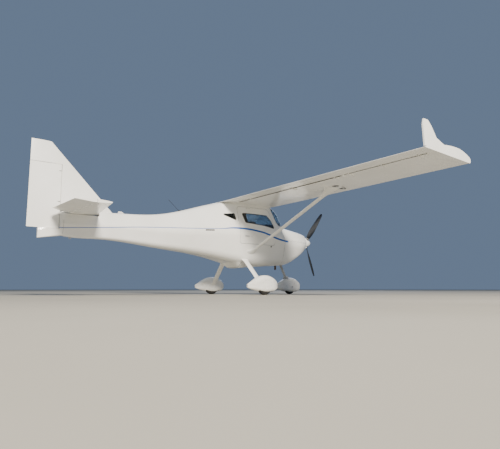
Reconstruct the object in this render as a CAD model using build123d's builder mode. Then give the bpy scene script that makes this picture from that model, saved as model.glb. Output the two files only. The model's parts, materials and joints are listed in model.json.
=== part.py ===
# High-wing microlight aeroplane, two seats, strut-braced, parked on its nose-wheel gear.
# Millimetres. The nose points to -Y, the port wing to +X, up is +Z, the ground is Z = 0.
# A station is the distance aft of the spinner's tip, a height is measured from the propeller axis.
import math
import os

from build123d import *

os.makedirs("parts", exist_ok=True)

# Overall sizes
overall_length = 6634
axis_height = 1250
nose_y = -overall_length / 2

# Clearances: pieces that seat, pieces that move past each other, pins in their bores
seat_gap = 0.3
move_gap = 6
bearing_gap = 0.05

# How far a cutting block reaches past the fuselage on every side
beyond = 1500

# Wing
half_span = 4900
wing_root = 480
wing_chord = 1275
wing_le_station = 1700
wing_le_height = 700
wing_incidence = 1.35
wing_dihedral = 0.9
aileron_start = 3280
aileron_end = 4770
hinge_share = 0.795
winglet_width = 22

# Aerofoil points as shares of the chord
nose_arc_x, nose_arc_z = 0.025, 0.0392
crest_x, crest_z = 0.33, 0.1068
keel_x, keel_z = 0.03, -0.03
tail_top, tail_bottom = 0.003, -0.001

# Fuselage skin
wall = 8
cowl_wall = 6
roof_end = 3000
firewall_station = 1300
cabin_end = 3100
tail_split = 6070

# Cowl and engine
cowl_front_station = 330
cowl_split = -40
shaft_hole_radius = 75
inlet_across = 128
inlet_height = -10
inlet_half_width = 34
inlet_half_height = 62
outlet_half = 200
outlet_range = (860, 1110)
flange_station = 322
flange_radius = 60
firewall_thickness = 10
engine_box = ((-210, 210), (560, 1000), (-270, 60))
mount_tube_radius = 10

# Doors and windows
door_corner = 60
window_corner = 25
quarter_corner = 15

# Door hinges: knuckles above the door, the pin fixed in the cabin's knuckle
door_hinge_across = 475
door_hinge_height = 594
door_hinge_stations = (1980, 2400)
knuckle_half = 20
knuckle_radius = 6
knuckle_room = 3
leaf_reach = 27
leaf_depth = 14
door_pin_radius = 3

# Hinges of the control surfaces
cove_angle = 50
bracket_width = 6
bracket_drop = 22
pin_radius = 5
pin_half = 26
flap_brackets = (900, 2100, 3100)
aileron_brackets = (3400, 4020, 4640)

# Tail
tailplane_height = 180
tailplane_le_root = 5470
tailplane_le_tip = 5740
tailplane_te = 6310
tailplane_half = 1300
tailplane_depth = 0.085
tail_half_depth = 38
elevator_hinge = 6000
elevator_radius = 26
elevator_inner = 96
elevator_inner_te = 240
elevator_brackets = (420, 1150)
torque_tube_radius = 14
fin_top = 1350
fin_le_top = 6315
fin_depth_foot, fin_depth_top = 0.062, 0.10
rudder_hinge = 6150
rudder_radius = 32
rudder_top = 974
rudder_bottom = -125
rudder_brackets = (330, 860)

# Struts: foot and head as distance to port, station, height
strut_foot = (470, 2290, -350)
strut_head = (2560, 2045, 730)
strut_chord = 105
strut_depth = 42

# Propeller and spinner
propeller_station = 190
blade_angles = (41, 161, 281)
hub_half = 68
hub_front = 130
spinner_length = 318
spinner_radius = 132
blade_hole_radius = 46

# Interior
seat_across = 200
seat_half = 172
floor_top = -458
floor_depth = 12
seat_foot = floor_top + seat_gap
seat_outline = [(2060, -330), (2440, -400), (2640, 60), (2690, 50), (2500, seat_foot), (2080, seat_foot)]
seat_beam = ((-seat_across, seat_across), (2120, 2500), (-420, -380))
panel_outline = [(1313, 200), (1520, 240), (1560, 230), (1560, -40), (1530, -40), (1530, 190), (1313, 170)]
stick_station = 1829
stick_top = -80
stick_radius = 11
exhaust_top = (165, 960, engine_box[2][0])
exhaust_foot = (165, 1050, -680)
exhaust_radius, exhaust_wall = 24, 3
antenna_foot, antenna_tip = (3790, 410), (4050, 625)
antenna_radius, antenna_base_radius = 3.5, 14

# Wheels, axles, legs and spats
main_station = 2350
main_track = 1870
nose_wheel_station = 750
tyre_radius = 180
tyre_width = 110
nose_tyre_radius = 170
nose_tyre_width = 100
rim_radius = 82
rim_width = 96
rim_wall = 6
bead_half = 34
flange_rise = 13
web_width = 16
hub_radius = 30
axle_radius = 12
leg_root = (380, 2405, -520)
leg_chord = 120
leg_depth = 32
leg_gap = 9
spat_wall = 5
spat_room = 14
belly_half = 330
belly_range = (2180, 2620)
belly_heights = (-700, -540)

# Nose gear; the towing pins are the thinner ends of its axle, each behind a groove
nose_leg_top = (1150, -360)
nose_tube_radius = 30
nose_pin_radius = 20
crown_rise = 100
crown_depth = 40
fork_plate = 8
fork_width = 50
nose_axle_half = 101
groove_width = 2
groove_radius = 9
tow_pin_radius = 10
tow_pin_length = 22

# Tie-down lugs under the wings and the tail: a plate with a hole for a shackle
lug_thickness = 8
lug_length = 64
lug_drop = 44
lug_hole_radius = 8
wing_lug_across = 2760
wing_lug_share = 0.27
tail_lug_station = 5930


# A point of the object from its distance to port, station and height
def at(across, station, height):
    return Vector(across, nose_y + station, axis_height + height)


# The side view: local x is the station, local y the height, the normal points to port
def side_plane(across=0, height=0):
    return Plane(origin=at(across, 0, height), x_dir=(0, 1, 0), z_dir=(1, 0, 0))


# A cross-section: local x points to port, local y up
def section_plane(station):
    return Plane(origin=at(0, station, 0), x_dir=(1, 0, 0), z_dir=(0, -1, 0))


# The view from above: local x points to port, local y is the station
def top_plane(height):
    return Plane(origin=at(0, 0, height), x_dir=(1, 0, 0), z_dir=(0, 0, 1))


def finish(piece, label):
    piece.part.label = label
    export_step(piece.part, f"parts/{label}.step")


def mirrored(solid):
    return mirror(solid, about=Plane.YZ, mode=Mode.PRIVATE)


# Writes a port piece and its mirror image
def finish_pair(solid, name):
    for side, shape in (("left", solid), ("right", mirrored(solid))):
        with BuildPart() as piece:
            add(shape)
        finish(piece, f"{name}_{side}")


# The largest solid of a trimmed piece
def largest(shape):
    return shape.solids().sort_by(SortBy.VOLUME)[-1]


# A box from ranges of distance to port, station and height
def block(across, stations, heights):
    size = [high - low for low, high in (across, stations, heights)]
    middle = [(high + low) / 2 for low, high in (across, stations, heights)]
    return Pos(at(*middle)) * Box(*size, mode=Mode.PRIVATE)


# A round bar between two points
def bar(start, end, radius):
    direction = end - start
    with BuildPart() as rod:
        with BuildSketch(Plane(origin=start, z_dir=direction)):
            Circle(radius)
        extrude(amount=direction.length)
    return rod.part


both_sides, port_side = (-beyond, beyond), (50, beyond)


# A prism across the body from an outline in the side view, with rounded corners, grown by a gap
def side_prism(outline, across=both_sides, radius=0, grow=0):
    with BuildPart() as prism:
        with BuildSketch(side_plane(across[0])) as face:
            with BuildLine():
                Polyline(*outline, close=True)
            make_face()
            if radius:
                fillet(face.vertices(), radius)
            if grow:
                offset(amount=grow)
        extrude(amount=across[1] - across[0])
    return prism.part


# Body sections, six-sided and rounded at each corner:
# station, top, belt, bottom, half widths of top, belt, bottom, radii of top, belt, bottom
cowl_rows = [
    (330, 165, 0, -200, 95, 200, 110, 70, 120, 80),
    (560, 195, -60, -340, 180, 330, 190, 110, 220, 130),
    (950, 240, -60, -530, 250, 420, 270, 150, 300, 190),
    (1300, 272, -50, -600, 300, 470, 330, 180, 300, 210),
]
hull_rows = [
    (1300, 272, -50, -600, 300, 470, 330, 180, 300, 210),
    (1740, 690, 30, -632, 430, 560, 390, 90, 400, 230),
    (2350, 740, 40, -615, 435, 562, 390, 90, 400, 230),
    (3100, 632, 40, -478, 280, 440, 270, 150, 320, 190),
    (3770, 430, 10, -392, 150, 325, 180, 120, 250, 150),
    (4670, 256, -20, -305, 90, 205, 115, 75, 150, 90),
    (5410, 218, -20, -255, 58, 145, 78, 48, 110, 62),
    (6070, 186, -40, -240, 32, 86, 46, 26, 60, 36),
]
tailcone_rows = [
    (6070, 186, -40, -240, 32, 86, 46, 26, 60, 36),
    (6460, -60, -180, -300, 14, 30, 16, 8, 16, 10),
]


def body_section(row, inset):
    station, top, belt, bottom, top_half, belt_half, bottom_half, top_r, belt_r, bottom_r = row
    corners = [
        (-top_half, top - inset),
        (-belt_half + inset, belt),
        (-bottom_half, bottom + inset),
        (bottom_half, bottom + inset),
        (belt_half - inset, belt),
        (top_half, top - inset),
    ]
    with BuildSketch(section_plane(station)) as section:
        with BuildLine():
            Polyline(*corners, close=True)
        make_face()
        for height, radius in ((top - inset, top_r), (bottom + inset, bottom_r), (belt, belt_r)):
            corner = section.vertices().filter_by_position(Axis.Y, height - 0.5, height + 0.5)
            fillet(corner, radius - inset / 2)
    return section.sketch


def body_loft(rows, inset=0):
    return loft([body_section(row, inset).face() for row in rows])


# The body skin and the room inside it
cowl_outer = body_loft(cowl_rows)
cowl_inner = body_loft(cowl_rows, cowl_wall)
hull_outer = body_loft(hull_rows)
hull_inner = body_loft(hull_rows, wall)
skin = hull_outer - hull_inner

# Doors, windows and windscreen as outlines in the side view
door_outline = [(1665, -185), (1632, 150), (1722, 350), (1850, 590), (2660, 590), (2610, -185)]
window_outline = [(1682, 178), (2000, 222), (2490, 257), (2556, 452), (1905, 455), (1780, 345)]
quarter_outline = [(2700, 285), (2735, 430), (3020, 402)]
screen_outline = [(1200, 262), (1500, 275), (1600, 345), (1725, 590), (1725, 800), (1200, 800)]


# A hinge part on the port side: a bar along the body, its leaf to the skin and the web between them
def knuckle(start, end, leaf_heights, web_heights):
    inner, outer = door_hinge_across - knuckle_radius, door_hinge_across + knuckle_radius
    with BuildPart() as part:
        add(hinge_bar(start, end, knuckle_radius))
        add(block((door_hinge_across - leaf_reach, door_hinge_across), (start, end), leaf_heights))
        add(block((inner, outer), (start, end), web_heights))
    return part.part


def hinge_bar(start, end, radius):
    return bar(*[at(door_hinge_across, station, door_hinge_height) for station in (start, end)], radius)


frame_leaf = (door_hinge_height + knuckle_radius, door_hinge_height + knuckle_radius + leaf_depth)
door_leaf = (door_hinge_height - knuckle_radius - leaf_depth, door_hinge_height - knuckle_radius)
frame_web = (door_hinge_height, frame_leaf[1])
door_web = (door_leaf[0], door_hinge_height)
knuckle_end = 2 * knuckle_half
room_radius = knuckle_radius + knuckle_room
frame_parts, frame_rooms, door_parts, door_rooms = [], [], [], []
for station in door_hinge_stations:
    frame_parts.append(knuckle(station - knuckle_half, station + knuckle_half, frame_leaf, frame_web))
    frame_parts.append(hinge_bar(station - knuckle_end, station + knuckle_end, door_pin_radius))
    door_rooms.append(hinge_bar(station - knuckle_end, station + knuckle_end, door_pin_radius + bearing_gap))
    door_rooms.append(hinge_bar(station - knuckle_half - seat_gap, station + knuckle_half + seat_gap, room_radius))
    for low, high in ((-knuckle_end, -knuckle_half - seat_gap), (knuckle_half + seat_gap, knuckle_end)):
        door_parts.append(knuckle(station + low, station + high, door_leaf, door_web))
    frame_rooms.append(hinge_bar(station - knuckle_end - knuckle_room, station - knuckle_half, room_radius))
    frame_rooms.append(hinge_bar(station + knuckle_half, station + knuckle_end + knuckle_room, room_radius))

# The wing's flat underside as a line in the side view
incidence = math.radians(wing_incidence)
under_slope = math.atan((tail_bottom - keel_z) / (1 - keel_x))
keel = Vector(keel_x * wing_chord, keel_z * wing_chord)
keel_station = wing_le_station + keel.X * math.cos(incidence) + keel.Y * math.sin(incidence)
keel_height = wing_le_height - keel.X * math.sin(incidence) + keel.Y * math.cos(incidence)


def under_wing(station):
    return keel_height + (station - keel_station) * math.tan(under_slope - incidence)


# The cabin's part of the skin, cut to seat the wing, and what is cut out of it
cabin_box = block(both_sides, (firewall_station, cabin_end), both_sides)
roof_start = firewall_station - 50
roof_line = [(station, under_wing(station) - seat_gap) for station in (roof_start, roof_end)]
roof_cut = side_prism([*roof_line, (roof_end, beyond), (roof_start, beyond)])
cabin_skin = (skin & cabin_box) - roof_cut
screen_prism = side_prism(screen_outline)
with BuildPart() as cabin_shell:
    add(cabin_skin)
    add(side_prism(door_outline, both_sides, door_corner, move_gap), mode=Mode.SUBTRACT)
    add(side_prism(quarter_outline, both_sides, quarter_corner), mode=Mode.SUBTRACT)
    add(screen_prism, mode=Mode.SUBTRACT)
    for solid in frame_rooms:
        add([solid, mirrored(solid)], mode=Mode.SUBTRACT)
    for solid in frame_parts:
        add([solid, mirrored(solid)])
finish(cabin_shell, "cabin_shell")

with BuildPart() as windscreen:
    add(cabin_skin)
    add(screen_prism, mode=Mode.INTERSECT)
finish(windscreen, "windscreen")

# Doors with their windows, and the quarter windows behind them
port_window = side_prism(window_outline, port_side, window_corner)
with BuildPart() as port_door:
    add(cabin_skin)
    add(side_prism(door_outline, port_side, door_corner), mode=Mode.INTERSECT)
    add(port_window, mode=Mode.SUBTRACT)
    add(door_rooms[1::2], mode=Mode.SUBTRACT)
    add(door_parts)
    add(door_rooms[0::2], mode=Mode.SUBTRACT)
finish_pair(port_door.part, "door")

with BuildPart() as port_door_window:
    add(cabin_skin)
    add(port_window, mode=Mode.INTERSECT)
finish_pair(port_door_window.part, "door_window")

with BuildPart() as port_quarter_window:
    add(cabin_skin)
    add(side_prism(quarter_outline, port_side, quarter_corner), mode=Mode.INTERSECT)
finish_pair(port_quarter_window.part, "quarter_window")

# Rear fuselage, open at the back for the tailplane and the fin
tail_slot_heights = (tailplane_height - tail_half_depth - seat_gap, beyond)
tail_slot = block((-400, 400), (tailplane_le_root - 8, tail_split + 1), tail_slot_heights)
with BuildPart() as rear_fuselage:
    add(skin)
    add(block(both_sides, (cabin_end, tail_split), both_sides), mode=Mode.INTERSECT)
    add(tail_slot, mode=Mode.SUBTRACT)
finish(rear_fuselage, "rear_fuselage")

# Cowl in two halves with its inlets, the hole for the propeller shaft and the outlet below
with BuildPart() as cowl_skin:
    add(cowl_outer)
    add(cowl_inner - block(both_sides, (0, cowl_front_station + cowl_wall), both_sides), mode=Mode.SUBTRACT)
    with BuildSketch(section_plane(cowl_front_station + 60)):
        Circle(shaft_hole_radius)
        with Locations((inlet_across, inlet_height), (-inlet_across, inlet_height)):
            Ellipse(inlet_half_width, inlet_half_height)
    extrude(amount=80, mode=Mode.SUBTRACT)
    add(block((-outlet_half, outlet_half), outlet_range, (-beyond, -350)), mode=Mode.SUBTRACT)
cowl_top = block(both_sides, (0, firewall_station + 1), (cowl_split, beyond))
for name, cut_mode in (("cowl_upper", Mode.INTERSECT), ("cowl_lower", Mode.SUBTRACT)):
    with BuildPart() as cowl:
        add(cowl_skin.part)
        add(cowl_top, mode=cut_mode)
    finish(cowl, name)

# Engine as one plain block with its propeller flange
with BuildPart() as engine_block:
    add(block(*engine_box))
    with BuildSketch(section_plane(engine_box[1][0])):
        Circle(flange_radius)
    extrude(amount=engine_box[1][0] - flange_station)
finish(engine_block, "engine_block")

# Engine mount: four tubes from the back of the engine to the firewall, joined by a square frame
mount_front, mount_back = engine_box[1][1], firewall_station + 1
# Distance to port and height of each tube at the engine and at the firewall
mount_rows = [(-160, 20, -230, 80), (160, 20, 230, 80), (-160, -230, -230, -320), (160, -230, 230, -320)]
mount_bar = (mount_front + 20, mount_front + 34)
with BuildPart() as engine_mount:
    for across_front, height_front, across_back, height_back in mount_rows:
        front = at(across_front, mount_front - 20, height_front)
        add(bar(front, at(across_back, mount_back + 20, height_back), mount_tube_radius))
    for heights in ((-240, -226), (14, 28)):
        add(block((-170, 170), mount_bar, heights))
    for across in ((-170, -156), (156, 170)):
        add(block(across, mount_bar, (-240, 28)))
    add(block(both_sides, (mount_front - 200, mount_front), both_sides), mode=Mode.SUBTRACT)
    add(block(both_sides, (mount_back, mount_back + 200), both_sides), mode=Mode.SUBTRACT)
finish(engine_mount, "engine_mount")

# Firewall across the whole skin, behind the engine mount
with BuildPart() as firewall:
    add(hull_inner)
    add(block(both_sides, (mount_back, mount_back + firewall_thickness), (-beyond, 262)), mode=Mode.INTERSECT)
finish(firewall, "firewall")

# The wing's own plane: local x runs aft along the chord, local y up, the normal points to port
def wing_plane(across):
    height = wing_le_height + (across - wing_root) * span_dir.Z / span_dir.X
    chord_dir = Vector(0, math.cos(incidence), -math.sin(incidence))
    return Plane(origin=at(across, wing_le_station, height), x_dir=chord_dir, z_dir=(1, 0, 0))


# Aerofoil: three tangent arcs above, a short arc and a line below
def aerofoil():
    chord = wing_chord
    crest = (crest_x * chord, crest_z * chord)
    with BuildSketch() as face:
        with BuildLine():
            nose_top = TangentArc((0, 0), (nose_arc_x * chord, nose_arc_z * chord), tangent=(0, 1))
            top = TangentArc(nose_top @ 1, crest, tangent=nose_top % 1)
            back = TangentArc(crest, (chord, tail_top * chord), tangent=top % 1)
            edge = Line(back @ 1, (chord, tail_bottom * chord))
            under = Line(edge @ 1, (keel_x * chord, keel_z * chord))
            TangentArc((0, 0), under @ 1, tangent=(0, -1))
        make_face()
    return face.sketch


# Height of the upper and lower surface at a share of the chord behind the crest
def surface_heights(share):
    run, fall = 1 - crest_x, crest_z - tail_top
    bend = (run**2 + fall**2) / (2 * fall)
    upper = crest_z - bend + math.sqrt(bend**2 - (share - crest_x) ** 2)
    lower = keel_z + (tail_bottom - keel_z) * (share - keel_x) / (1 - keel_x)
    return upper * wing_chord, lower * wing_chord


hinge_top, hinge_bottom = surface_heights(hinge_share)
hinge_x = hinge_share * wing_chord
hinge_z = (hinge_top + hinge_bottom) / 2
hinge_radius = (hinge_top - hinge_bottom) / 2
cove_radius = hinge_radius + move_gap
cove_x = hinge_x - cove_radius * math.cos(math.radians(cove_angle))
section = aerofoil()
span_dir = Vector(math.cos(math.radians(wing_dihedral)), 0, math.sin(math.radians(wing_dihedral)))


# A bar of the wing's section, or of part of it, along the span
def lengthwise(sketch, start, end):
    length = (end - start) / span_dir.X
    return extrude(wing_plane(start) * sketch, amount=length, dir=span_dir, mode=Mode.PRIVATE)


def hinge_line(across, half, radius):
    ends = [wing_plane(across + shift).from_local_coords((hinge_x, hinge_z, 0)) for shift in (-half, half)]
    return bar(*ends, radius)


with BuildSketch() as front_face:
    add(section)
    with Locations((cove_x + wing_chord / 2, 0)):
        Rectangle(wing_chord, wing_chord, mode=Mode.SUBTRACT)
    with Locations((hinge_x, hinge_z)):
        Circle(cove_radius, mode=Mode.SUBTRACT)

with BuildSketch() as flap_face:
    add(section)
    with Locations((hinge_x - wing_chord / 2, 0)):
        Rectangle(wing_chord, wing_chord, mode=Mode.SUBTRACT)
    with Locations((hinge_x, hinge_z)):
        Circle(hinge_radius)

# The winglet stands on the aft part of the tip
winglet_outline = [
    (430, 20), (700, 95), (960, 180), (1080, 330), (1160, 395), (1262, 395), (1288, 300), (1275, 20),
]
with BuildSketch() as winglet_face:
    with BuildLine():
        Polyline(*winglet_outline, close=True)
    make_face()

# Hinge brackets: a plate under the wing and a pin through the moving surface, which is slotted for it
bracket_tail = (6, hinge_radius + 6)
with BuildSketch() as bracket_face:
    with BuildLine():
        Polyline(
            (cove_x - 150, hinge_bottom + 6),
            (cove_x - 110, hinge_bottom - bracket_drop),
            (cove_x - 40, hinge_bottom - bracket_drop),
            (hinge_x + bracket_tail[0], hinge_z - bracket_tail[1]),
            (hinge_x + 14, hinge_z + 10),
            (hinge_x - 10, hinge_z + 12),
            (cove_x - 40, hinge_bottom + 12),
            close=True,
        )
    make_face()
with BuildSketch() as slot_face:
    with Locations((hinge_x, hinge_z)):
        Circle(math.hypot(*bracket_tail) + move_gap)
all_brackets = flap_brackets + aileron_brackets

with BuildPart() as port_wing:
    add(lengthwise(front_face.sketch, wing_root, half_span))
    add(lengthwise(section, aileron_end + move_gap, half_span))
    add(lengthwise(winglet_face.sketch, half_span - winglet_width, half_span))
    for across in all_brackets:
        add(lengthwise(bracket_face.sketch, across - bracket_width / 2, across + bracket_width / 2))
        add(hinge_line(across, pin_half, pin_radius))
finish_pair(port_wing.part, "wing")

for name, start, end, brackets in (
    ("flap", wing_root + move_gap, aileron_start - move_gap, flap_brackets),
    ("aileron", aileron_start, aileron_end, aileron_brackets),
):
    slot_half = bracket_width / 2 + move_gap
    with BuildPart() as surface:
        add(lengthwise(flap_face.sketch, start, end))
        for across in brackets:
            add(lengthwise(slot_face.sketch, across - slot_half, across + slot_half), mode=Mode.SUBTRACT)
            add(hinge_line(across, pin_half + 2, pin_radius + bearing_gap), mode=Mode.SUBTRACT)
    finish_pair(surface.part, name)

with BuildPart() as centre_section:
    origin = at(seat_gap - wing_root, wing_le_station, wing_le_height)
    with BuildSketch(Plane(origin=origin, x_dir=wing_plane(0).x_dir, z_dir=(1, 0, 0))):
        add(section)
    extrude(amount=2 * (wing_root - seat_gap))
finish(centre_section, "centre_section")


# Streamlined bar from a start to an end point, its chord along the body
def faired_bar(start, end, chord, depth):
    direction = (end - start).normalized()
    half = chord / 2
    with BuildPart() as fairing:
        chord_dir = Vector(0, 1, 0) - direction * direction.Y
        with BuildSketch(Plane(origin=start, x_dir=chord_dir, z_dir=direction)):
            with BuildLine():
                ThreePointArc((-half * 0.86, -depth * 0.3), (-half, 0), (-half * 0.86, depth * 0.3))
                ThreePointArc((-half * 0.86, depth * 0.3), (-half * 0.3, depth / 2), (half, 1))
                Line((half, 1), (half, -1))
                ThreePointArc((half, -1), (-half * 0.3, -depth / 2), (-half * 0.86, -depth * 0.3))
            make_face()
        extrude(amount=(end - start).length)
    return fairing.part


# Wing struts, trimmed by the fuselage and by the wing
above_wing = Pos(wing_chord / 2, keel_z * wing_chord - seat_gap + 300) * Rectangle(1.4 * wing_chord, 600)
strut_blank = faired_bar(at(*strut_foot), at(*strut_head), strut_chord, strut_depth)
finish_pair(largest(strut_blank - hull_outer - lengthwise(above_wing, wing_root, half_span)), "wing_strut")

# Tie-down lug under the wing, a rounded plate with its hole along the span
lug_middle = wing_lug_share * wing_chord
lug_top = surface_heights(wing_lug_share)[1]


# The plate hangs from the origin: local x along the body, local y up
def lug_sketch():
    half = lug_length / 2
    with BuildSketch() as face:
        with BuildLine():
            Polyline((-half, 0), (half, 0), (0.4 * half, -lug_drop), (-0.4 * half, -lug_drop), close=True)
        make_face()
        fillet(face.vertices().sort_by(Axis.Y)[:2], 10)
        with Locations((0, -lug_drop + 2 * lug_hole_radius)):
            Circle(lug_hole_radius, mode=Mode.SUBTRACT)
    return face.sketch


with BuildPart() as wing_lug:
    with BuildSketch(wing_plane(wing_lug_across - lug_thickness / 2)):
        add(Pos(lug_middle, lug_top - seat_gap) * Rot(0, 0, math.degrees(under_slope)) * lug_sketch())
    extrude(amount=lug_thickness)
finish_pair(wing_lug.part, "tie_down")

# The lug under the tail ends at the skin's shape, lowered by the seat gap
with BuildPart() as tail_lug:
    with BuildSketch(side_plane(-lug_thickness / 2)):
        add(Pos(tail_lug_station, hull_rows[-1][3]) * lug_sketch())
        with Locations((tail_lug_station, hull_rows[-1][3] + 10)):
            Rectangle(lug_length, 20)
    extrude(amount=lug_thickness)
    add(Pos(0, 0, -seat_gap) * hull_outer, mode=Mode.SUBTRACT)
finish(tail_lug, "tie_down_tail")

# Main legs: a leaf from the belly to the inside of the wheel, then the axle
wheel_height = tyre_radius - axis_height
wheel_across = main_track / 2
wheel_centre = at(wheel_across, main_station, wheel_height)
leg_end = wheel_across - tyre_width / 2 - leg_gap
leg_aim = at(leg_end + 30, main_station, wheel_height - 18)
leg_blank = faired_bar(at(*leg_root), leg_aim, leg_chord, leg_depth)
leg_trim = block((leg_end, beyond), (1000, 4000), (-1400, -200))
finish_pair(largest(leg_blank - hull_outer - leg_trim), "main_leg")


def axle_bar(start, end, radius):
    return bar(at(start, main_station, wheel_height), at(end, main_station, wheel_height), radius)


axle_end = wheel_across + rim_width / 2 + 2 * seat_gap
with BuildPart() as main_axle:
    add(axle_bar(leg_end, wheel_across - rim_width / 2 - seat_gap, hub_radius))
    add(axle_bar(leg_end, axle_end + 10, axle_radius))
    add(axle_bar(axle_end, axle_end + 10, hub_radius * 0.7))
finish_pair(main_axle.part, "main_axle")


# A wheel about its axle: the rim with its hub, web and flared flanges, and the tyre between the flanges
def wheel(centre, radius, width):
    plane = Plane(origin=centre, x_dir=(1, 0, 0), z_dir=(0, 1, 0))
    axle = Axis(centre, (1, 0, 0))
    bore = axle_radius + bearing_gap
    wide_radius = (rim_radius + radius) / 2
    lean = (width / 2 - bead_half) / (wide_radius - rim_radius)
    tyre_side = [
        (bead_half, rim_radius + seat_gap),
        (width / 2, wide_radius),
        (0.82 * width / 2, radius - 14),
        (0.45 * width / 2, radius),
    ]
    seat = bead_half + seat_gap
    flange = seat + lean * flange_rise
    rim_side = [
        (seat, rim_radius),
        (flange, rim_radius + flange_rise),
        (flange + rim_wall, rim_radius + flange_rise),
        (seat + rim_wall, rim_radius - rim_wall),
    ]
    with BuildPart() as rim:
        with BuildSketch(plane):
            with Locations((0, (bore + hub_radius) / 2)):
                Rectangle(rim_width, hub_radius - bore)
            with Locations((0, (hub_radius + rim_radius - rim_wall) / 2)):
                Rectangle(web_width, rim_radius - hub_radius)
            with BuildLine():
                Polyline(*rim_side, *[(-across, out) for across, out in reversed(rim_side)], close=True)
            make_face()
        revolve(axis=axle)
    with BuildPart() as tyre:
        with BuildSketch(plane):
            with BuildLine():
                Polyline(*tyre_side, *[(-across, out) for across, out in reversed(tyre_side)], close=True)
            make_face()
        revolve(axis=axle)
    return rim, tyre


main_rim, main_tyre = wheel(wheel_centre, tyre_radius, tyre_width)
finish_pair(main_rim.part, "main_rim")
finish_pair(main_tyre.part, "main_tyre")

# Spat sections from its nose to its tail:
# distance aft of the wheel, top, bottom, half width, corner radius
spat_rows = [
    (-345, 40, -20, 14, 10),
    (-300, 98, -72, 48, 40),
    (-190, 170, -112, 84, 70),
    (-20, 212, -128, 98, 80),
    (150, 186, -112, 88, 74),
    (320, 104, -74, 52, 44),
    (445, 34, -30, 14, 10),
]


# Smooth outside, straight from section to section inside
def spat_form(centre, inset, straight):
    faces = []
    for aft, top, bottom, half, radius in spat_rows:
        middle = centre + Vector(0, aft, (top + bottom) / 2)
        plane = Plane(origin=middle, x_dir=(1, 0, 0), z_dir=(0, -1, 0))
        width, height = 2 * (half - inset), top - bottom - 2 * inset
        corner = min(radius, width * 0.48, height * 0.48)
        faces.append((plane * RectangleRounded(width, height, corner, mode=Mode.PRIVATE)).face())
    return loft(faces, ruled=straight)


def spat(centre, radius, width):
    slot_across = (centre.X - width / 2 - spat_room, centre.X + width / 2 + spat_room)
    slot_half = radius + spat_room - 10
    outside, inside = spat_form(centre, 0, False), spat_form(centre, spat_wall, True)
    with BuildPart() as shell:
        add(outside)
        add(inside, mode=Mode.SUBTRACT)
        slot_plane = Plane(origin=(slot_across[0], centre.Y, centre.Z), x_dir=(0, 1, 0), z_dir=(1, 0, 0))
        with BuildSketch(slot_plane):
            with Locations((0, -radius)):
                Rectangle(2 * slot_half, 2 * radius)
        extrude(amount=slot_across[1] - slot_across[0], mode=Mode.SUBTRACT)
    return shell.part


finish_pair(largest(spat(wheel_centre, tyre_radius, tyre_width) - leg_blank), "main_spat")

# Belly fairing between the main legs
with BuildPart() as belly_fairing:
    add(block((-belly_half, belly_half), belly_range, belly_heights))
    fillet(belly_fairing.edges().filter_by(Axis.Y), 25)
    add([hull_outer, leg_blank, mirrored(leg_blank)], mode=Mode.SUBTRACT)
finish(belly_fairing, "belly_fairing")

# Nose gear: a raked tube on the firewall, and the fork that turns in it
nose_centre = at(0, nose_wheel_station, nose_tyre_radius - axis_height)
tube_top = at(0, *nose_leg_top)
rake_dir = (tube_top - nose_centre).normalized()
tube_foot = nose_centre + rake_dir * (nose_tyre_radius + crown_rise)
crown_top = tube_foot - rake_dir * seat_gap
crown_foot = crown_top - rake_dir * crown_depth
socket_stations = (nose_leg_top[0] - nose_tube_radius, mount_back)
with BuildPart() as nose_leg:
    add(bar(tube_foot, tube_top, nose_tube_radius))
    add(block((-40, 40), socket_stations, (nose_leg_top[1] - 60, nose_leg_top[1] + 30)))
    add(bar(tube_foot, tube_foot + rake_dir * 300, nose_pin_radius + bearing_gap), mode=Mode.SUBTRACT)
finish(nose_leg, "nose_leg")


# A bar of the nose axle between two distances from its middle, to both sides
def nose_axle_bar(start, end, radius):
    across = Vector(1, 0, 0)
    return [bar(nose_centre + across * sign * start, nose_centre + across * sign * end, radius) for sign in (-1, 1)]


pin_start = nose_axle_half + groove_width
with BuildPart() as nose_axle:
    add(nose_axle_bar(0, nose_axle_half, axle_radius))
    add(nose_axle_bar(nose_axle_half, pin_start, groove_radius))
    add(nose_axle_bar(pin_start, pin_start + tow_pin_length, tow_pin_radius))
finish(nose_axle, "nose_axle")

blade_across = nose_tyre_width / 2 + move_gap + fork_plate / 2
blade_length = (crown_foot - nose_centre).length + 10
with BuildPart() as nose_fork:
    add(bar(crown_top, tube_foot + rake_dir * 280, nose_pin_radius))
    with BuildSketch(Plane(origin=crown_foot, x_dir=(1, 0, 0), z_dir=rake_dir)):
        RectangleRounded(2 * blade_across + fork_plate, 70, 10)
    extrude(amount=crown_depth)
    for middle in (-blade_across, blade_across):
        start = nose_centre + Vector(middle - fork_plate / 2, 0, 0)
        with BuildSketch(Plane(origin=start, x_dir=(0, rake_dir.Y, rake_dir.Z), z_dir=(1, 0, 0))):
            Circle(fork_width / 2)
            with Locations((blade_length / 2, 0)):
                Rectangle(blade_length, fork_width)
        extrude(amount=fork_plate)
    add(nose_axle_bar(0, nose_axle_half, axle_radius + bearing_gap), mode=Mode.SUBTRACT)
finish(nose_fork, "nose_fork")

nose_rim, nose_tyre = wheel(nose_centre, nose_tyre_radius, nose_tyre_width)
finish(nose_rim, "nose_rim")
finish(nose_tyre, "nose_tyre")

nose_shell = spat(nose_centre, nose_tyre_radius, nose_tyre_width)
with BuildPart() as nose_spat:
    add(nose_shell)
    with BuildSketch(Plane(origin=nose_centre + rake_dir * 150, x_dir=(1, 0, 0), z_dir=rake_dir)):
        RectangleRounded(2 * blade_across + fork_plate + 8, 78, 12)
    extrude(amount=200, mode=Mode.SUBTRACT)
    add(nose_axle_bar(0, nose_axle_half, axle_radius + seat_gap), mode=Mode.SUBTRACT)
finish(nose_spat, "nose_spat")


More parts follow.
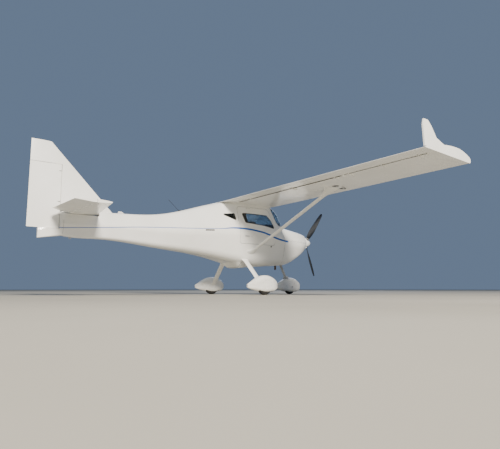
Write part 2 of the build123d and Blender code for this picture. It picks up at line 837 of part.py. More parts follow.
# Symmetrical tail section in its own plane: nose arc, then one arc each side to a thin trailing edge
def tail_section(leading, trailing, thickness, upright=False):
    chord = trailing - leading
    depth = thickness * chord
    nose, crest, edge = (0.0174, 0.198), (0.35, 0.5), (1, 0.03)

    def point(share, part, sign):
        along, off = leading + share * chord, sign * part * depth
        return (off, along) if upright else (along, off)

    with BuildSketch() as face:
        with BuildLine():
            ThreePointArc(point(*nose, -1), point(0, 0, 1), point(*nose, 1))
            ThreePointArc(point(*nose, 1), point(*crest, 1), point(*edge, 1))
            Line(point(*edge, 1), point(*edge, -1))
            ThreePointArc(point(*edge, -1), point(*crest, -1), point(*nose, -1))
        make_face()
    return face.sketch


# Tailplane in one piece with its hinge plates and pins, hollowed round the elevator's nose
elevator_cove = elevator_radius + move_gap
elevator_front = elevator_hinge - elevator_cove * math.cos(math.radians(cove_angle))
near_tailplane = (tailplane_height - 200, tailplane_height + 200)


def elevator_bar(start, end, radius):
    return bar(at(start, elevator_hinge, tailplane_height), at(end, elevator_hinge, tailplane_height), radius)


# A plate across the hinge line at a distance to port, thicker by a gap and reaching behind the hinge
def elevator_plate(middle, gap, reach, half_height):
    half = bracket_width / 2 + gap
    stations = (elevator_hinge - elevator_cove - 30, elevator_hinge + reach)
    heights = (tailplane_height - half_height, tailplane_height + half_height)
    return block((middle - half, middle + half), stations, heights)


elevator_room = elevator_bar(-tailplane_half - 50, tailplane_half + 50, elevator_cove)
elevator_middles = [sign * across for across in elevator_brackets for sign in (-1, 1)]
with BuildPart() as tailplane_blank:
    for across, leading in zip(
        (-tailplane_half, 0, tailplane_half), (tailplane_le_tip, tailplane_le_root, tailplane_le_tip)
    ):
        with BuildSketch(side_plane(across, tailplane_height)):
            add(tail_section(leading, tailplane_te, tailplane_depth))
    loft(ruled=True)
    add(elevator_room, mode=Mode.SUBTRACT)
    add(block(both_sides, (elevator_front, overall_length), near_tailplane), mode=Mode.SUBTRACT)
with BuildPart() as tailplane:
    add(tailplane_blank.part)
    for middle in elevator_middles:
        add(elevator_plate(middle, 0, 10, 10))
        add(elevator_bar(middle - pin_half, middle + pin_half, pin_radius))
finish(tailplane, "tailplane")

# Elevator in one piece, joined through the fuselage by a tube
with BuildPart() as elevator:
    with BuildSketch(side_plane(-tailplane_half, tailplane_height)):
        with Locations((elevator_hinge, 0)):
            Circle(elevator_radius)
        with BuildLine():
            Polyline(
                (elevator_hinge, elevator_radius),
                (tailplane_te, 2),
                (tailplane_te, -2),
                (elevator_hinge, -elevator_radius),
                close=True,
            )
        make_face()
    extrude(amount=2 * tailplane_half)
    with BuildSketch(top_plane(tailplane_height - 100)):
        with BuildLine():
            Polyline(
                (-elevator_inner, elevator_hinge - 100),
                (elevator_inner, elevator_hinge - 100),
                (elevator_inner, elevator_hinge + 110),
                (elevator_inner_te, tailplane_te + 10),
                (-elevator_inner_te, tailplane_te + 10),
                (-elevator_inner, elevator_hinge + 110),
                close=True,
            )
        make_face()
    extrude(amount=200, mode=Mode.SUBTRACT)
    add(elevator_bar(-elevator_inner - 5, elevator_inner + 5, torque_tube_radius))
    for middle in elevator_middles:
        add(elevator_plate(middle, move_gap, 22, 60), mode=Mode.SUBTRACT)
        bore = elevator_bar(middle - pin_half - 2, middle + pin_half + 2, pin_radius + bearing_gap)
        add(bore, mode=Mode.SUBTRACT)
finish(elevator, "elevator")

# Rudder hinge parts: the same plates and pins, standing
rudder_cove = rudder_radius + move_gap
rudder_front = rudder_hinge - rudder_cove * math.cos(math.radians(cove_angle))
rudder_span = (rudder_bottom - move_gap, rudder_top + move_gap)


def rudder_bar(start, end, radius):
    return bar(at(0, rudder_hinge, start), at(0, rudder_hinge, end), radius)


def rudder_plate(height, gap, reach, half_across):
    heights = (height - bracket_width / 2 - gap, height + bracket_width / 2 + gap)
    return block((-half_across, half_across), (rudder_front - 40, rudder_hinge + reach), heights)


rudder_room = rudder_bar(*rudder_span, rudder_cove)
rudder_room += block((-100, 100), (rudder_front, overall_length + 10), rudder_span)

# Fin with the cap over the rudder, and the cone that closes the fuselage
fin_le_root = fin_le_top - (fin_top - tailplane_height)
tail_outer = body_loft(tailcone_rows)
with BuildPart() as fin_blank:
    fin_rows = [(tailplane_height, fin_le_root, fin_depth_foot), (fin_top, fin_le_top, fin_depth_top)]
    for height, leading, depth in fin_rows:
        with BuildSketch(top_plane(height)):
            add(tail_section(leading, overall_length, depth, True))
    loft()
fin_form = fin_blank.part - hull_outer.cut(tail_slot) - tail_outer - tailplane_blank.part
with BuildPart() as fin:
    add(largest(fin_form - elevator_room - rudder_room))
    for height in rudder_brackets:
        add(rudder_plate(height, 0, 10, 10))
        add(rudder_bar(height - pin_half, height + pin_half, pin_radius))
finish(fin, "fin")

with BuildPart() as tailcone:
    add(largest(tail_outer - rudder_room))
finish(tailcone, "tailcone")

with BuildPart() as rudder:
    with BuildSketch(top_plane(rudder_bottom)):
        with Locations((0, rudder_hinge)):
            Circle(rudder_radius)
        with BuildLine():
            Polyline(
                (-rudder_radius, rudder_hinge),
                (-2, overall_length),
                (2, overall_length),
                (rudder_radius, rudder_hinge),
                close=True,
            )
        make_face()
    extrude(amount=rudder_top - rudder_bottom)
    for height in rudder_brackets:
        add(rudder_plate(height, move_gap, 22, 60), mode=Mode.SUBTRACT)
        bore = rudder_bar(height - pin_half - 2, height + pin_half + 2, pin_radius + bearing_gap)
        add(bore, mode=Mode.SUBTRACT)
finish(rudder, "rudder")

# Propeller blade sections from root to tip: distance from the axis, chord, depth, pitch in degrees
blade_rows = [
    (60, 62, 40, 62),
    (140, 84, 26, 52),
    (300, 122, 18, 35),
    (520, 118, 13, 24),
    (740, 88, 9, 18),
    (870, 40, 5, 15),
]
with BuildPart() as blade:
    for radius, chord, depth, pitch in blade_rows:
        turn = math.radians(pitch)
        chord_dir = (-math.cos(turn), -math.sin(turn), 0)
        with BuildSketch(Plane(origin=(0, 0, radius), x_dir=chord_dir, z_dir=(0, 0, 1))):
            with BuildLine():
                ThreePointArc((-chord / 2, 0), (chord * 0.1, depth * 0.75), (chord / 2, 0))
                ThreePointArc((chord / 2, 0), (chord * 0.1, -depth * 0.25), (-chord / 2, 0))
            make_face()
    loft()

propeller_centre = at(0, propeller_station, 0)
with BuildPart() as propeller:
    add(bar(at(0, flange_station - seat_gap, 0), at(0, hub_front, 0), hub_half))
    for angle in blade_angles:
        add(Pos(propeller_centre) * Rot(0, -angle, 0) * blade.part)
finish(propeller, "propeller")

# Spinner: an ogive turned about the shaft, bored for the hub and the blades' roots
with BuildPart() as spinner:
    with BuildSketch(side_plane()):
        with BuildLine():
            tip, base = (0, 0), (spinner_length, spinner_radius)
            TangentArc(base, tip, tangent=(-1, 0))
            Line(tip, (spinner_length, 0))
            Line((spinner_length, 0), base)
        make_face()
    revolve(axis=Axis(at(0, 0, 0), (0, 1, 0)))
    hub_room = bar(at(0, spinner_length + 1, 0), at(0, hub_front - seat_gap, 0), hub_half + seat_gap)
    add(hub_room, mode=Mode.SUBTRACT)
    for angle in blade_angles:
        turn = math.radians(angle)
        blade_end = propeller_centre + Vector(-math.sin(turn), 0, math.cos(turn)) * 300
        add(bar(propeller_centre, blade_end, blade_hole_radius), mode=Mode.SUBTRACT)
finish(spinner, "spinner")

# Interior seen through the glass: seats and floor, instrument panel and control sticks
with BuildPart() as seats:
    for across in (-seat_across, seat_across):
        with BuildSketch(side_plane(across - seat_half)):
            with BuildLine():
                Polyline(*seat_outline, close=True)
            make_face()
        extrude(amount=2 * seat_half)
    add(block(*seat_beam))
finish(seats, "seats")

with BuildPart() as instrument_panel:
    add(hull_inner)
    add(side_prism(panel_outline), mode=Mode.INTERSECT)
finish(instrument_panel, "instrument_panel")

with BuildPart() as cabin_floor:
    add(hull_inner)
    floor_stations = (mount_back + firewall_thickness + 9, 2700)
    add(block(both_sides, floor_stations, (floor_top - floor_depth, floor_top)), mode=Mode.INTERSECT)
finish(cabin_floor, "cabin_floor")

with BuildPart() as control_sticks:
    for across in (-seat_across, seat_across):
        foot = at(across, stick_station, floor_top + 8)
        add(bar(foot, at(across, stick_station - 29, stick_top), stick_radius))
    stick_stations = (stick_station - stick_radius, stick_station + stick_radius)
    add(block((-seat_across, seat_across), stick_stations, (seat_foot, floor_top + 21)))
finish(control_sticks, "control_sticks")

# Exhaust pipe from the engine down through the cowl's outlet
exhaust_run = Vector(0, 0, 90)
with BuildPart() as exhaust:
    with BuildLine() as pipe_path:
        start, end = at(*exhaust_top), at(*exhaust_foot)
        FilletPolyline(start, start - exhaust_run, end + exhaust_run, end, radius=60)
    with BuildSketch(Plane(origin=at(*exhaust_top), z_dir=(0, 0, -1))):
        Circle(exhaust_radius)
        Circle(exhaust_radius - exhaust_wall, mode=Mode.SUBTRACT)
    sweep(path=pipe_path.line)
finish(exhaust, "exhaust")

# Whip antenna on its base behind the cabin
with BuildPart() as antenna:
    add(bar(at(0, *antenna_foot), at(0, *antenna_tip), antenna_radius))
    add(bar(at(0, antenna_foot[0] + 10, 380), at(0, antenna_foot[0] + 10, 440), antenna_base_radius))
    add(hull_outer, mode=Mode.SUBTRACT)
finish(antenna, "antenna")
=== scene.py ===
import bpy
import bmesh
import json
import math
from mathutils import Matrix, Vector
from mathutils.bvhtree import BVHTree


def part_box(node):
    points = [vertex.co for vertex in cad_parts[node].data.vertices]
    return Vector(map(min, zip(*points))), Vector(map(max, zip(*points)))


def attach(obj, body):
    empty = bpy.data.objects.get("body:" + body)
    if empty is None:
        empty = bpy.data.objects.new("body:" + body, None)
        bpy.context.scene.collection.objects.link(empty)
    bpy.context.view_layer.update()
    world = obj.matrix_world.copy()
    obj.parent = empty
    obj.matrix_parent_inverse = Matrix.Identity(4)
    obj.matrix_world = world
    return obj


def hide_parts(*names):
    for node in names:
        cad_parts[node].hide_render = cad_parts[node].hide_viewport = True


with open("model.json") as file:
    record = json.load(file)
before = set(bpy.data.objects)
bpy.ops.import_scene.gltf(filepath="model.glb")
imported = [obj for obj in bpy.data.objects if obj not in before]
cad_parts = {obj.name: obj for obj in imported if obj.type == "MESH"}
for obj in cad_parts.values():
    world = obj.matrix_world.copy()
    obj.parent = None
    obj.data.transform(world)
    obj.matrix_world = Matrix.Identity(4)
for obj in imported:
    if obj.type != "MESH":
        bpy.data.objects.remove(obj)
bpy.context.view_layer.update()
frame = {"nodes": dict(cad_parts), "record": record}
nodes = frame["nodes"]
print("loaded", len(nodes), "nodes")

# Places are given as distance to port, station aft of the spinner's tip, height over the propeller axis
datum = {"noseY": -3.317, "axisZ": 1.25}


def at(across, station, height):
    return Vector((across, datum["noseY"] + station, datum["axisZ"] + height))


# Materials

def linear(hexColour):
    channels = [int(hexColour[i:i + 2], 16) / 255 for i in (1, 3, 5)]
    return tuple(c / 12.92 if c <= 0.04045 else ((c + 0.055) / 1.055) ** 2.4 for c in channels) + (1.0,)


# Adds a shader node: links are (output socket, input name), values go to inputs, settings to the node
def addNode(tree, kind, links=(), values=None, settings=None):
    node = tree.nodes.new("ShaderNode" + kind)
    for name, value in (settings or {}).items():
        setattr(node, name, value)
    for name, value in (values or {}).items():
        node.inputs[name].default_value = value
    for source, target in links:
        tree.links.new(source, node.inputs[target])
    return node


def newMaterial(name, shaderValues):
    material = bpy.data.materials.new(name)
    material.use_nodes = True
    tree = material.node_tree
    shader = tree.nodes["Principled BSDF"]
    for socket, value in shaderValues.items():
        shader.inputs[socket].default_value = value
    return material, tree, shader, addNode(tree, "TexCoord").outputs["Object"]


# Noise between two colours of one surface, with spots of a real size in millimetres
def addPatches(tree, place, light, dark, spotMm):
    patches = addNode(tree, "TexNoise", [(place, "Vector")], {"Scale": 1000 / spotMm, "Detail": 5.0})
    ramp = addNode(tree, "ValToRGB", [(patches.outputs["Fac"], "Fac")])
    for element, position, colour in zip(ramp.color_ramp.elements, (0.32, 0.68), (dark, light)):
        element.position = position
        element.color = linear(colour)
    return ramp.outputs["Color"]


# A bump from any height, with its depth in millimetres
def addBump(tree, shader, height, strength, depthMm):
    bump = addNode(tree, "Bump", [(height, "Height")], {"Strength": strength, "Distance": depthMm / 1000})
    tree.links.new(bump.outputs["Normal"], shader.inputs["Normal"])


def addGrain(tree, shader, place, grainMm, strength):
    grain = addNode(tree, "TexNoise", [(place, "Vector")], {"Scale": 1000 / grainMm, "Detail": 3.0})
    addBump(tree, shader, grain.outputs["Fac"], strength, 1.0)


# Roughness that varies between two values over patches of a real size
def addSheenPatches(tree, shader, place, spotMm, low, high):
    patches = addNode(tree, "TexNoise", [(place, "Vector")], {"Scale": 1000 / spotMm, "Detail": 4.0})
    span = addNode(tree, "MapRange", [(patches.outputs["Fac"], "Value")],
                   {"From Min": 0.3, "From Max": 0.7, "To Min": low, "To Max": high})
    tree.links.new(span.outputs["Result"], shader.inputs["Roughness"])


def mixColours(tree, share, first, second):
    mix = addNode(tree, "Mix", [(share, "Factor"), (first, 6)], {7: linear(second)}, {"data_type": "RGBA"})
    return mix.outputs[2]


paint = {
    "white": "#FAFAF7", "shade": "#F1F1EC", "dust": "#B9B09C", "stripe": "#2A63B4",
    "patchMm": 700, "waveMm": 45, "speckScale": 14.0,
    # half width of the stripe beside the doors and along the tail, and the stations where it narrows
    "stripeHalf": (0.019, 0.006), "stripeNarrows": (2.55, 3.15),
    # dust from the ground: all of it below the first height, none above the second
    "dustLow": 0.02, "dustHigh": 0.75, "dustShare": 0.45,
    # station and height of the stripe, nose to tail, and the heights it stays between
    "stripePath": [(1.18, -0.063), (1.51, -0.041), (1.93, 0.045), (2.10, 0.077), (2.67, 0.12),
                   (3.06, 0.087), (4.72, 0.0), (5.27, -0.048), (6.05, -0.11)],
    "stripeHeights": (-0.2, 0.2),
}


# Where the stripe is: a curve gives its height along the body, from its first station aft
def findStripe(tree, split):
    path, (lowest, highest) = paint["stripePath"], paint["stripeHeights"]
    first, last = path[0][0], path[-1][0]
    along = addNode(tree, "MapRange", [(split.outputs["Y"], "Value")],
                    {"From Min": datum["noseY"] + first, "From Max": datum["noseY"] + last})
    curve = addNode(tree, "FloatCurve", [(along.outputs["Result"], "Value")])
    points = curve.mapping.curves[0].points
    spots = [((station - first) / (last - first), (height - lowest) / (highest - lowest))
             for station, height in path]
    points[0].location = spots[0]
    points[1].location = spots[-1]
    for spot in spots[1:-1]:
        points.new(*spot)
    curve.mapping.update()
    middle = addNode(tree, "MapRange", [(curve.outputs["Value"], "Value")],
                     {"To Min": datum["axisZ"] + lowest, "To Max": datum["axisZ"] + highest})
    gap = addNode(tree, "Math", [(split.outputs["Z"], 0), (middle.outputs["Result"], 1)],
                  settings={"operation": "SUBTRACT"})
    size = addNode(tree, "Math", [(gap.outputs[0], 0)], settings={"operation": "ABSOLUTE"})
    (near, far), (wide, narrow) = paint["stripeNarrows"], paint["stripeHalf"]
    half = addNode(tree, "MapRange", [(split.outputs["Y"], "Value")],
                   {"From Min": datum["noseY"] + near, "From Max": datum["noseY"] + far,
                    "To Min": wide, "To Max": narrow}, {"interpolation_type": "SMOOTHSTEP"})
    inside = addNode(tree, "Math", [(size.outputs[0], 0), (half.outputs["Result"], 1)],
                     settings={"operation": "LESS_THAN"})
    aft = addNode(tree, "Math", [(split.outputs["Y"], 0)], {1: datum["noseY"] + first},
                  {"operation": "GREATER_THAN"})
    both = addNode(tree, "Math", [(inside.outputs[0], 0), (aft.outputs[0], 1)],
                   settings={"operation": "MULTIPLY"})
    return both.outputs[0]


# White gelcoat moulded in a polished tool: a deep soft gloss, a faint wave, and road dust low down
def makeGelcoat(name, striped):
    material, tree, shader, place = newMaterial(
        name, {"Roughness": 0.25, "Coat Weight": 0.4, "Coat Roughness": 0.06})
    colour = addPatches(tree, place, paint["white"], paint["shade"], paint["patchMm"])
    split = addNode(tree, "SeparateXYZ", [(place, "Vector")])
    low = addNode(tree, "MapRange", [(split.outputs["Z"], "Value")],
                  {"From Min": paint["dustLow"], "From Max": paint["dustHigh"],
                   "To Min": paint["dustShare"], "To Max": 0.0})
    specks = addNode(tree, "TexNoise", [(place, "Vector")],
                     {"Scale": paint["speckScale"], "Detail": 8.0, "Roughness": 0.7})
    dusty = addNode(tree, "MapRange", [(specks.outputs["Fac"], "Value")],
                    {"From Min": 0.38, "From Max": 0.72})
    share = addNode(tree, "Math", [(low.outputs[0], 0), (dusty.outputs[0], 1)],
                    settings={"operation": "MULTIPLY"})
    colour = mixColours(tree, share.outputs[0], colour, paint["dust"])
    if striped:
        colour = mixColours(tree, findStripe(tree, split), colour, paint["stripe"])
    tree.links.new(colour, shader.inputs["Base Color"])
    addGrain(tree, shader, place, paint["waveMm"], 0.06)
    return material


# One finish with patches of two colours and a grain: sizes are in millimetres
def makeFinish(name, light, dark, spotMm, grainMm, grainStrength, rough, values=None):
    material, tree, shader, place = newMaterial(name, values or {})
    tree.links.new(addPatches(tree, place, light, dark, spotMm), shader.inputs["Base Color"])
    addSheenPatches(tree, shader, place, spotMm * 2, *rough)
    addGrain(tree, shader, place, grainMm, grainStrength)
    return material


# The weave is of 2 mm threads, drawn at 4 mm so that it shows
clothLook = {"threadMm": 4, "patchMm": 60, "shadow": "#8E949C", "depthMm": 0.8}


# Woven cloth: matt, with a soft sheen along its edges and a small shadow between the threads
def makeCloth(name, light, dark):
    material, tree, shader, place = newMaterial(
        name, {"Roughness": 0.92, "Sheen Weight": 0.35, "Sheen Roughness": 0.5})
    colour = addPatches(tree, place, light, dark, clothLook["patchMm"])
    threads = [addNode(tree, "TexWave", [(place, "Vector")],
                       {"Scale": 1000 / clothLook["threadMm"] / 6.28, "Distortion": 0.6, "Detail": 1.0},
                       {"wave_type": "BANDS", "bands_direction": direction})
               for direction in ("X", "DIAGONAL")]
    weave = addNode(tree, "Math", [(threads[0].outputs["Fac"], 0), (threads[1].outputs["Fac"], 1)],
                    settings={"operation": "MULTIPLY"})
    shadow = addNode(tree, "MapRange", [(weave.outputs[0], "Value")], {"To Min": 0.0, "To Max": 0.35})
    colour = mixColours(tree, shadow.outputs[0], colour, clothLook["shadow"])
    tree.links.new(colour, shader.inputs["Base Color"])
    addBump(tree, shader, weave.outputs[0], 0.5, clothLook["depthMm"])
    return material


gelcoat = makeGelcoat("whiteGelcoat", False)
gelcoatStriped = makeGelcoat("whiteGelcoatStriped", True)

# Smoke-tinted acrylic, blown to shape: clear with a grey cast and sharp reflections
acrylic, tree, shader, place = newMaterial(
    "tintedAcrylic", {"Roughness": 0.02, "IOR": 1.49, "Transmission Weight": 1.0})
tree.links.new(addPatches(tree, place, "#7C8A93", "#6A7881", 400), shader.inputs["Base Color"])

# Moulded carbon blade under a dark lacquer: nearly black with a satin sheen
lacqueredCarbon = makeFinish("lacqueredCarbon", "#232A35", "#161A21", 45, 3, 0.04,
                             (0.25, 0.4), {"Coat Weight": 0.4})
# Vulcanised rubber: dull black with dusty grey patches
vulcanisedRubber = makeFinish("vulcanisedRubber", "#343331", "#1C1C1C", 35, 1.5, 0.3, (0.7, 0.95))
# Extruded sealing rubber: an even matt black; laid under the coves it also paints the shade of the gap there
sealRubberAndGapShade = makeFinish("extrudedSealRubberAndGapShade", "#191A1B", "#101112", 20, 1, 0.15, (0.55, 0.75))
# Turned aluminium: a soft metallic sheen with fine marks
turnedAluminium = makeFinish("turnedAluminium", "#D0D2D5", "#B4B6BA", 20, 1, 0.08,
                             (0.25, 0.45), {"Metallic": 1.0})
# Zinc-plated steel screws: grey and bright
zincSteel = makeFinish("zincPlatedSteel", "#C3C6C9", "#9EA1A5", 6, 1, 0.1, (0.25, 0.4), {"Metallic": 1.0})
# Powder-coated steel tube: pale grey with a slight orange peel
greyPowderCoat = makeFinish("greyPowderCoat", "#C3C5C7", "#ADAFB1", 25, 2, 0.1, (0.4, 0.5))
# Heat-stained stainless exhaust: brown and straw tints
heatStainedSteel = makeFinish("heatStainedSteel", "#8F7962", "#4B3E36", 30, 2, 0.1,
                              (0.35, 0.55), {"Metallic": 0.9})
# Blackened iron and aluminium castings of the engine
blackenedCasting = makeFinish("blackenedCasting", "#2E2F31", "#1D1E20", 30, 2, 0.3,
                              (0.5, 0.7), {"Metallic": 0.3})
# Bare aluminium sheet, dulled
dullAluminium = makeFinish("dullAluminiumSheet", "#A9ABAD", "#8F9193", 60, 3, 0.08,
                           (0.4, 0.55), {"Metallic": 0.8})
# Thermoformed black plastic with a leather grain
grainedPlastic = makeFinish("blackGrainedPlastic", "#25272A", "#17181A", 30, 1.6, 0.35, (0.5, 0.65))
# Needle-felt lining glued to the inside of the cabin
needleFelt = makeFinish("needleFeltLining", "#4B4F55", "#3A3D42", 8, 1.5, 0.7,
                        (0.9, 1.0), {"Sheen Weight": 0.2})
# Dark heat blanket inside the cowl
heatBlanket = makeFinish("quiltedHeatBlanket", "#2B2926", "#1A1918", 40, 6, 0.6, (0.7, 0.9))
# The shadow in a joint between two panels, filled with dark sealant; over the vents' openings it is painted shade
jointSealantAndHoleShade = makeFinish("darkJointSealantAndHoleShade", "#2C2D2B", "#1B1C1B", 15, 2, 0.1, (0.7, 0.85))
# Glossy black glass of the displays
displayGlass = makeFinish("displayGlass", "#0D1117", "#080A0E", 200, 20, 0.01, (0.05, 0.1))
# White screen-printed marks
printedWhite = makeFinish("printedWhite", "#E6E6E2", "#D4D4CF", 10, 1, 0.05, (0.5, 0.6))
# Woven polyester webbing of the belts
beltWebbing = makeCloth("wovenWebbing", "#2B2F3A", "#20242C")
upholstery = makeCloth("wovenUpholstery", "#565B66", "#40444D")

slotMaterials = {
    "composite_white": gelcoat,
    "cabin_glazing": acrylic,
    "propeller_dark": lacqueredCarbon,
    "tyre_black": vulcanisedRubber,
    "rim_aluminium": turnedAluminium,
    "gear_steel": greyPowderCoat,
    "exhaust_steel": heatStainedSteel,
    "engine_iron": blackenedCasting,
    "firewall_metal": dullAluminium,
    "panel_black": grainedPlastic,
    "seat_fabric": upholstery,
}
striped = ("cabin_shell", "rear_fuselage", "door_left", "door_right", "cowl_upper", "cowl_lower", "tailcone")
slotOf = {row["node"]: row["material_slot"] for row in frame["record"]["subparts"]}
for name, node in nodes.items():
    for slot in node.material_slots:
        slot.material = gelcoatStriped if name in striped else slotMaterials[slotOf[name]]
print("materials set")

# Mesh helpers shared by the pieces

mergeDistance = 0.00002
rayStart = {"side": 1.6, "below": -1.1, "above": 1.6}


# Ends a bmesh as an object at the origin
def addObject(name, bm, material=None):
    mesh = bpy.data.meshes.new(name)
    bm.to_mesh(mesh)
    bm.free()
    if material:
        mesh.materials.append(material)
    made = bpy.data.objects.new(name, mesh)
    bpy.context.scene.collection.objects.link(made)
    return made


# Ends a bmesh as a piece of the model that moves with a CAD body
def addPiece(name, bm, material, body="airframe", sharpAngle=35):
    for edge in bm.edges:
        edge.smooth = not (edge.is_manifold and abs(edge.calc_face_angle(0)) > math.radians(sharpAngle))
    for face in bm.faces:
        face.smooth = True
    piece = addObject(name, bm, material)
    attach(piece, body)
    return piece


# The surface of some CAD nodes or pieces, to lay others on
def skinOf(*names):
    bm = bmesh.new()
    for name in names:
        bm.from_mesh((nodes[name] if isinstance(name, str) else name).data)
    tree = BVHTree.FromBMesh(bm)
    bm.free()
    return tree


# Where a ray first meets a skin, and the way out of it there
def touch(skin, start, direction):
    spot, normal, index, gap = skin.ray_cast(start, direction)
    if spot is None:
        return None, None
    return spot, normal if normal.dot(direction) < 0 else -normal


# Each one once, in the order they come: a set's order changes from run to run
def once(items):
    return list(dict.fromkeys(items))


# Closes what is open between some vertices and turns their faces outward
def closeUp(bm, verts):
    edges = once(edge for vert in verts for edge in vert.link_edges if edge.is_boundary)
    if edges:
        bmesh.ops.holes_fill(bm, edges=edges, sides=0)
    faces = once(face for vert in verts for face in vert.link_faces)
    bmesh.ops.recalc_face_normals(bm, faces=faces)
    base = faces[0].calc_center_median()
    if sum(face.calc_area() * face.normal.dot(face.calc_center_median() - base) for face in faces) < 0:
        bmesh.ops.reverse_faces(bm, faces=faces)


# A grid bent into a tube or band: place(column, row) gives each point, and what meets is merged
def bendGrid(bm, columns, rows, place):
    verts = bmesh.ops.create_grid(bm, x_segments=columns, y_segments=rows, size=1)["verts"]
    for index, vert in enumerate(verts):
        row, column = divmod(index, columns + 1)
        vert.co = place(column, row)
    bmesh.ops.remove_doubles(bm, verts=verts, dist=mergeDistance)
    closeUp(bm, [vert for vert in verts if vert.is_valid])


bandProfile = [(-0.5, -0.5), (-0.5, 0.35), (-0.38, 1.0), (0.38, 1.0), (0.5, 0.35), (0.5, -0.5), (-0.5, -0.5)]


# A low band laid on a skin. A path is a list of (start, direction) rays, and the band is centred on
# where they land. A ray that lands far from its neighbour, as through an opening, is put beside it
def layBand(bm, skin, path, width, rise, closed=False, profile=bandProfile):
    count = len(path)
    places = []
    for index, (start, direction) in enumerate(path):
        ahead = path[(index + 1) % count if closed else min(index + 1, count - 1)][0]
        behind = path[(index - 1) % count if closed else max(index - 1, 0)][0]
        side = (ahead - behind).cross(direction).normalized()
        middle, way = touch(skin, start, direction)
        row = []
        for across, up in profile:
            spot, normal = touch(skin, start + side * across * width, direction)
            if middle is not None and (spot is None or (spot - middle).length > width * 2 + 0.01):
                spot, normal = middle + side * across * width, way
            row.append(None if spot is None else spot + normal * up * rise)
        places.append(row)
    places = [row for row in places if None not in row]
    if len(places) < 2:
        print("no skin under a band")
        return
    columns = len(places) if closed else len(places) - 1
    bendGrid(bm, columns, len(profile) - 1, lambda column, row: places[column % len(places)][row])


# Points along straight runs, no further apart than a step
def divide(points, step, closed=False):
    result = []
    pairs = zip(points, points[1:] + points[:1]) if closed else zip(points, points[1:])
    for start, end in pairs:
        start, end = Vector(start), Vector(end)
        steps = max(1, math.ceil((end - start).length / step))
        result += [start.lerp(end, index / steps) for index in range(steps)]
    return result if closed else result + [Vector(points[-1])]


def rectangle(low, high):
    return [(low[0], low[1]), (high[0], low[1]), (high[0], high[1]), (low[0], high[1])]


# A closed outline with round corners, as the CAD's, from its sharp corners in metres
def roundOutline(corners, radius, step=0.04, arcSteps=6):
    points = []
    count = len(corners)
    for index in range(count):
        here = Vector(corners[index])
        before = (Vector(corners[index - 1]) - here).normalized()
        after = (Vector(corners[(index + 1) % count]) - here).normalized()
        half = before.angle(after) / 2
        reach = radius / math.tan(half)
        centre = here + (before + after).normalized() * radius / math.sin(half)
        first, last = here + before * reach - centre, here + after * reach - centre
        sweep = first.angle_signed(last)
        for part in range(arcSteps + 1):
            points.append(tuple(centre + Matrix.Rotation(-sweep * part / arcSteps, 2) @ first))
    return divide(points, step, closed=True)


# Rays from the side onto the port skin (sign 1) or the starboard skin (sign -1), from (station, height)
def fromSide(points, sign):
    return [(at(rayStart["side"] * sign, *point), Vector((-sign, 0, 0))) for point in points]


# Rays from below or above, from (across, station)
def fromBelow(points):
    return [(at(*point, rayStart["below"]), Vector((0, 0, 1))) for point in points]


def fromAbove(points):
    return [(at(*point, rayStart["above"]), Vector((0, 0, -1))) for point in points]


# Where the first of some rays lands
def land(skin, rays):
    return touch(skin, *rays[0])


# Cosine and sine of a step round a circle
def circle(step, count):
    spin = math.tau * (step % count) / count
    return math.cos(spin), math.sin(spin)


# Rays from a ring round the body, aimed at its middle
def fromAround(station, height, radius, count, shift=0):
    rays = []
    for index in range(count):
        x, z = circle(index + shift, count)
        out = Vector((x, 0, z))
        rays.append((at(0, station, height) + out * radius, -out))
    return rays


# A place given for the port side, on either side
def onSide(place, sign):
    return at(sign * place[0], place[1], place[2])


# The turn that takes Z to a direction
def facing(spot, direction):
    return Matrix.Translation(spot) @ direction.to_track_quat("Z", "Y").to_matrix().to_4x4()


# A matrix that stands on a skin: local X along the body, local Z out of the skin
def standOn(spot, normal):
    sideways = normal.cross(Vector((0, 1, 0))).normalized()
    along = sideways.cross(normal).normalized()
    return Matrix.Translation(spot) @ Matrix((along, sideways, normal)).transposed().to_4x4()


# A turned part: a half profile of (radius, height) spun about a line
def turn(bm, profile, spot, direction, steps=24):
    verts = [bm.verts.new((radius, 0, height)) for radius, height in profile]
    edges = [bm.edges.new(pair) for pair in zip(verts, verts[1:])]
    bmesh.ops.spin(bm, geom=verts + edges, cent=(0, 0, 0), axis=(0, 0, 1), angle=math.tau, steps=steps,
                   use_merge=True)
    whole = [vert for vert in verts if vert.is_valid]
    while True:
        reached = [other for vert in whole for edge in vert.link_edges for other in edge.verts]
        wider = once(whole + reached)
        if len(wider) == len(whole):
            break
        whole = wider
    bmesh.ops.remove_doubles(bm, verts=whole, dist=mergeDistance)
    whole = [vert for vert in whole if vert.is_valid]
    closeUp(bm, whole)
    bmesh.ops.transform(bm, matrix=facing(spot, direction), verts=whole)


# Screw heads on a skin, each a low dome with a small pit; sizes are shares of the radius
screwProfile = [(0, 0.25), (0.35, 0.25), (0.45, 0.5), (0.8, 0.4), (1, 0), (1, -0.4)]


def addScrews(bm, skin, rays, radius):
    for start, direction in rays:
        spot, normal = touch(skin, start, direction)
        if spot is not None:
            turn(bm, [(radius * out, radius * up) for out, up in screwProfile], spot, normal, 10)


def roundEdges(bm, edges, radius, segments):
    bmesh.ops.bevel(bm, geom=edges, offset=radius, segments=segments, profile=0.5, affect="EDGES",
                    material=-1)


# A box with rounded edges, from its lowest and highest corners
def addBlock(bm, low, high, radius=0.003, segments=2):
    low, high = Vector(low), Vector(high)
    cube = bmesh.ops.create_cube(bm, size=1)["verts"]
    bmesh.ops.transform(bm, verts=cube, matrix=Matrix.Translation((low + high) / 2)
                        @ Matrix.Diagonal((*(high - low), 1)))
    if radius:
        roundEdges(bm, once(edge for vert in cube for edge in vert.link_edges), radius, segments)


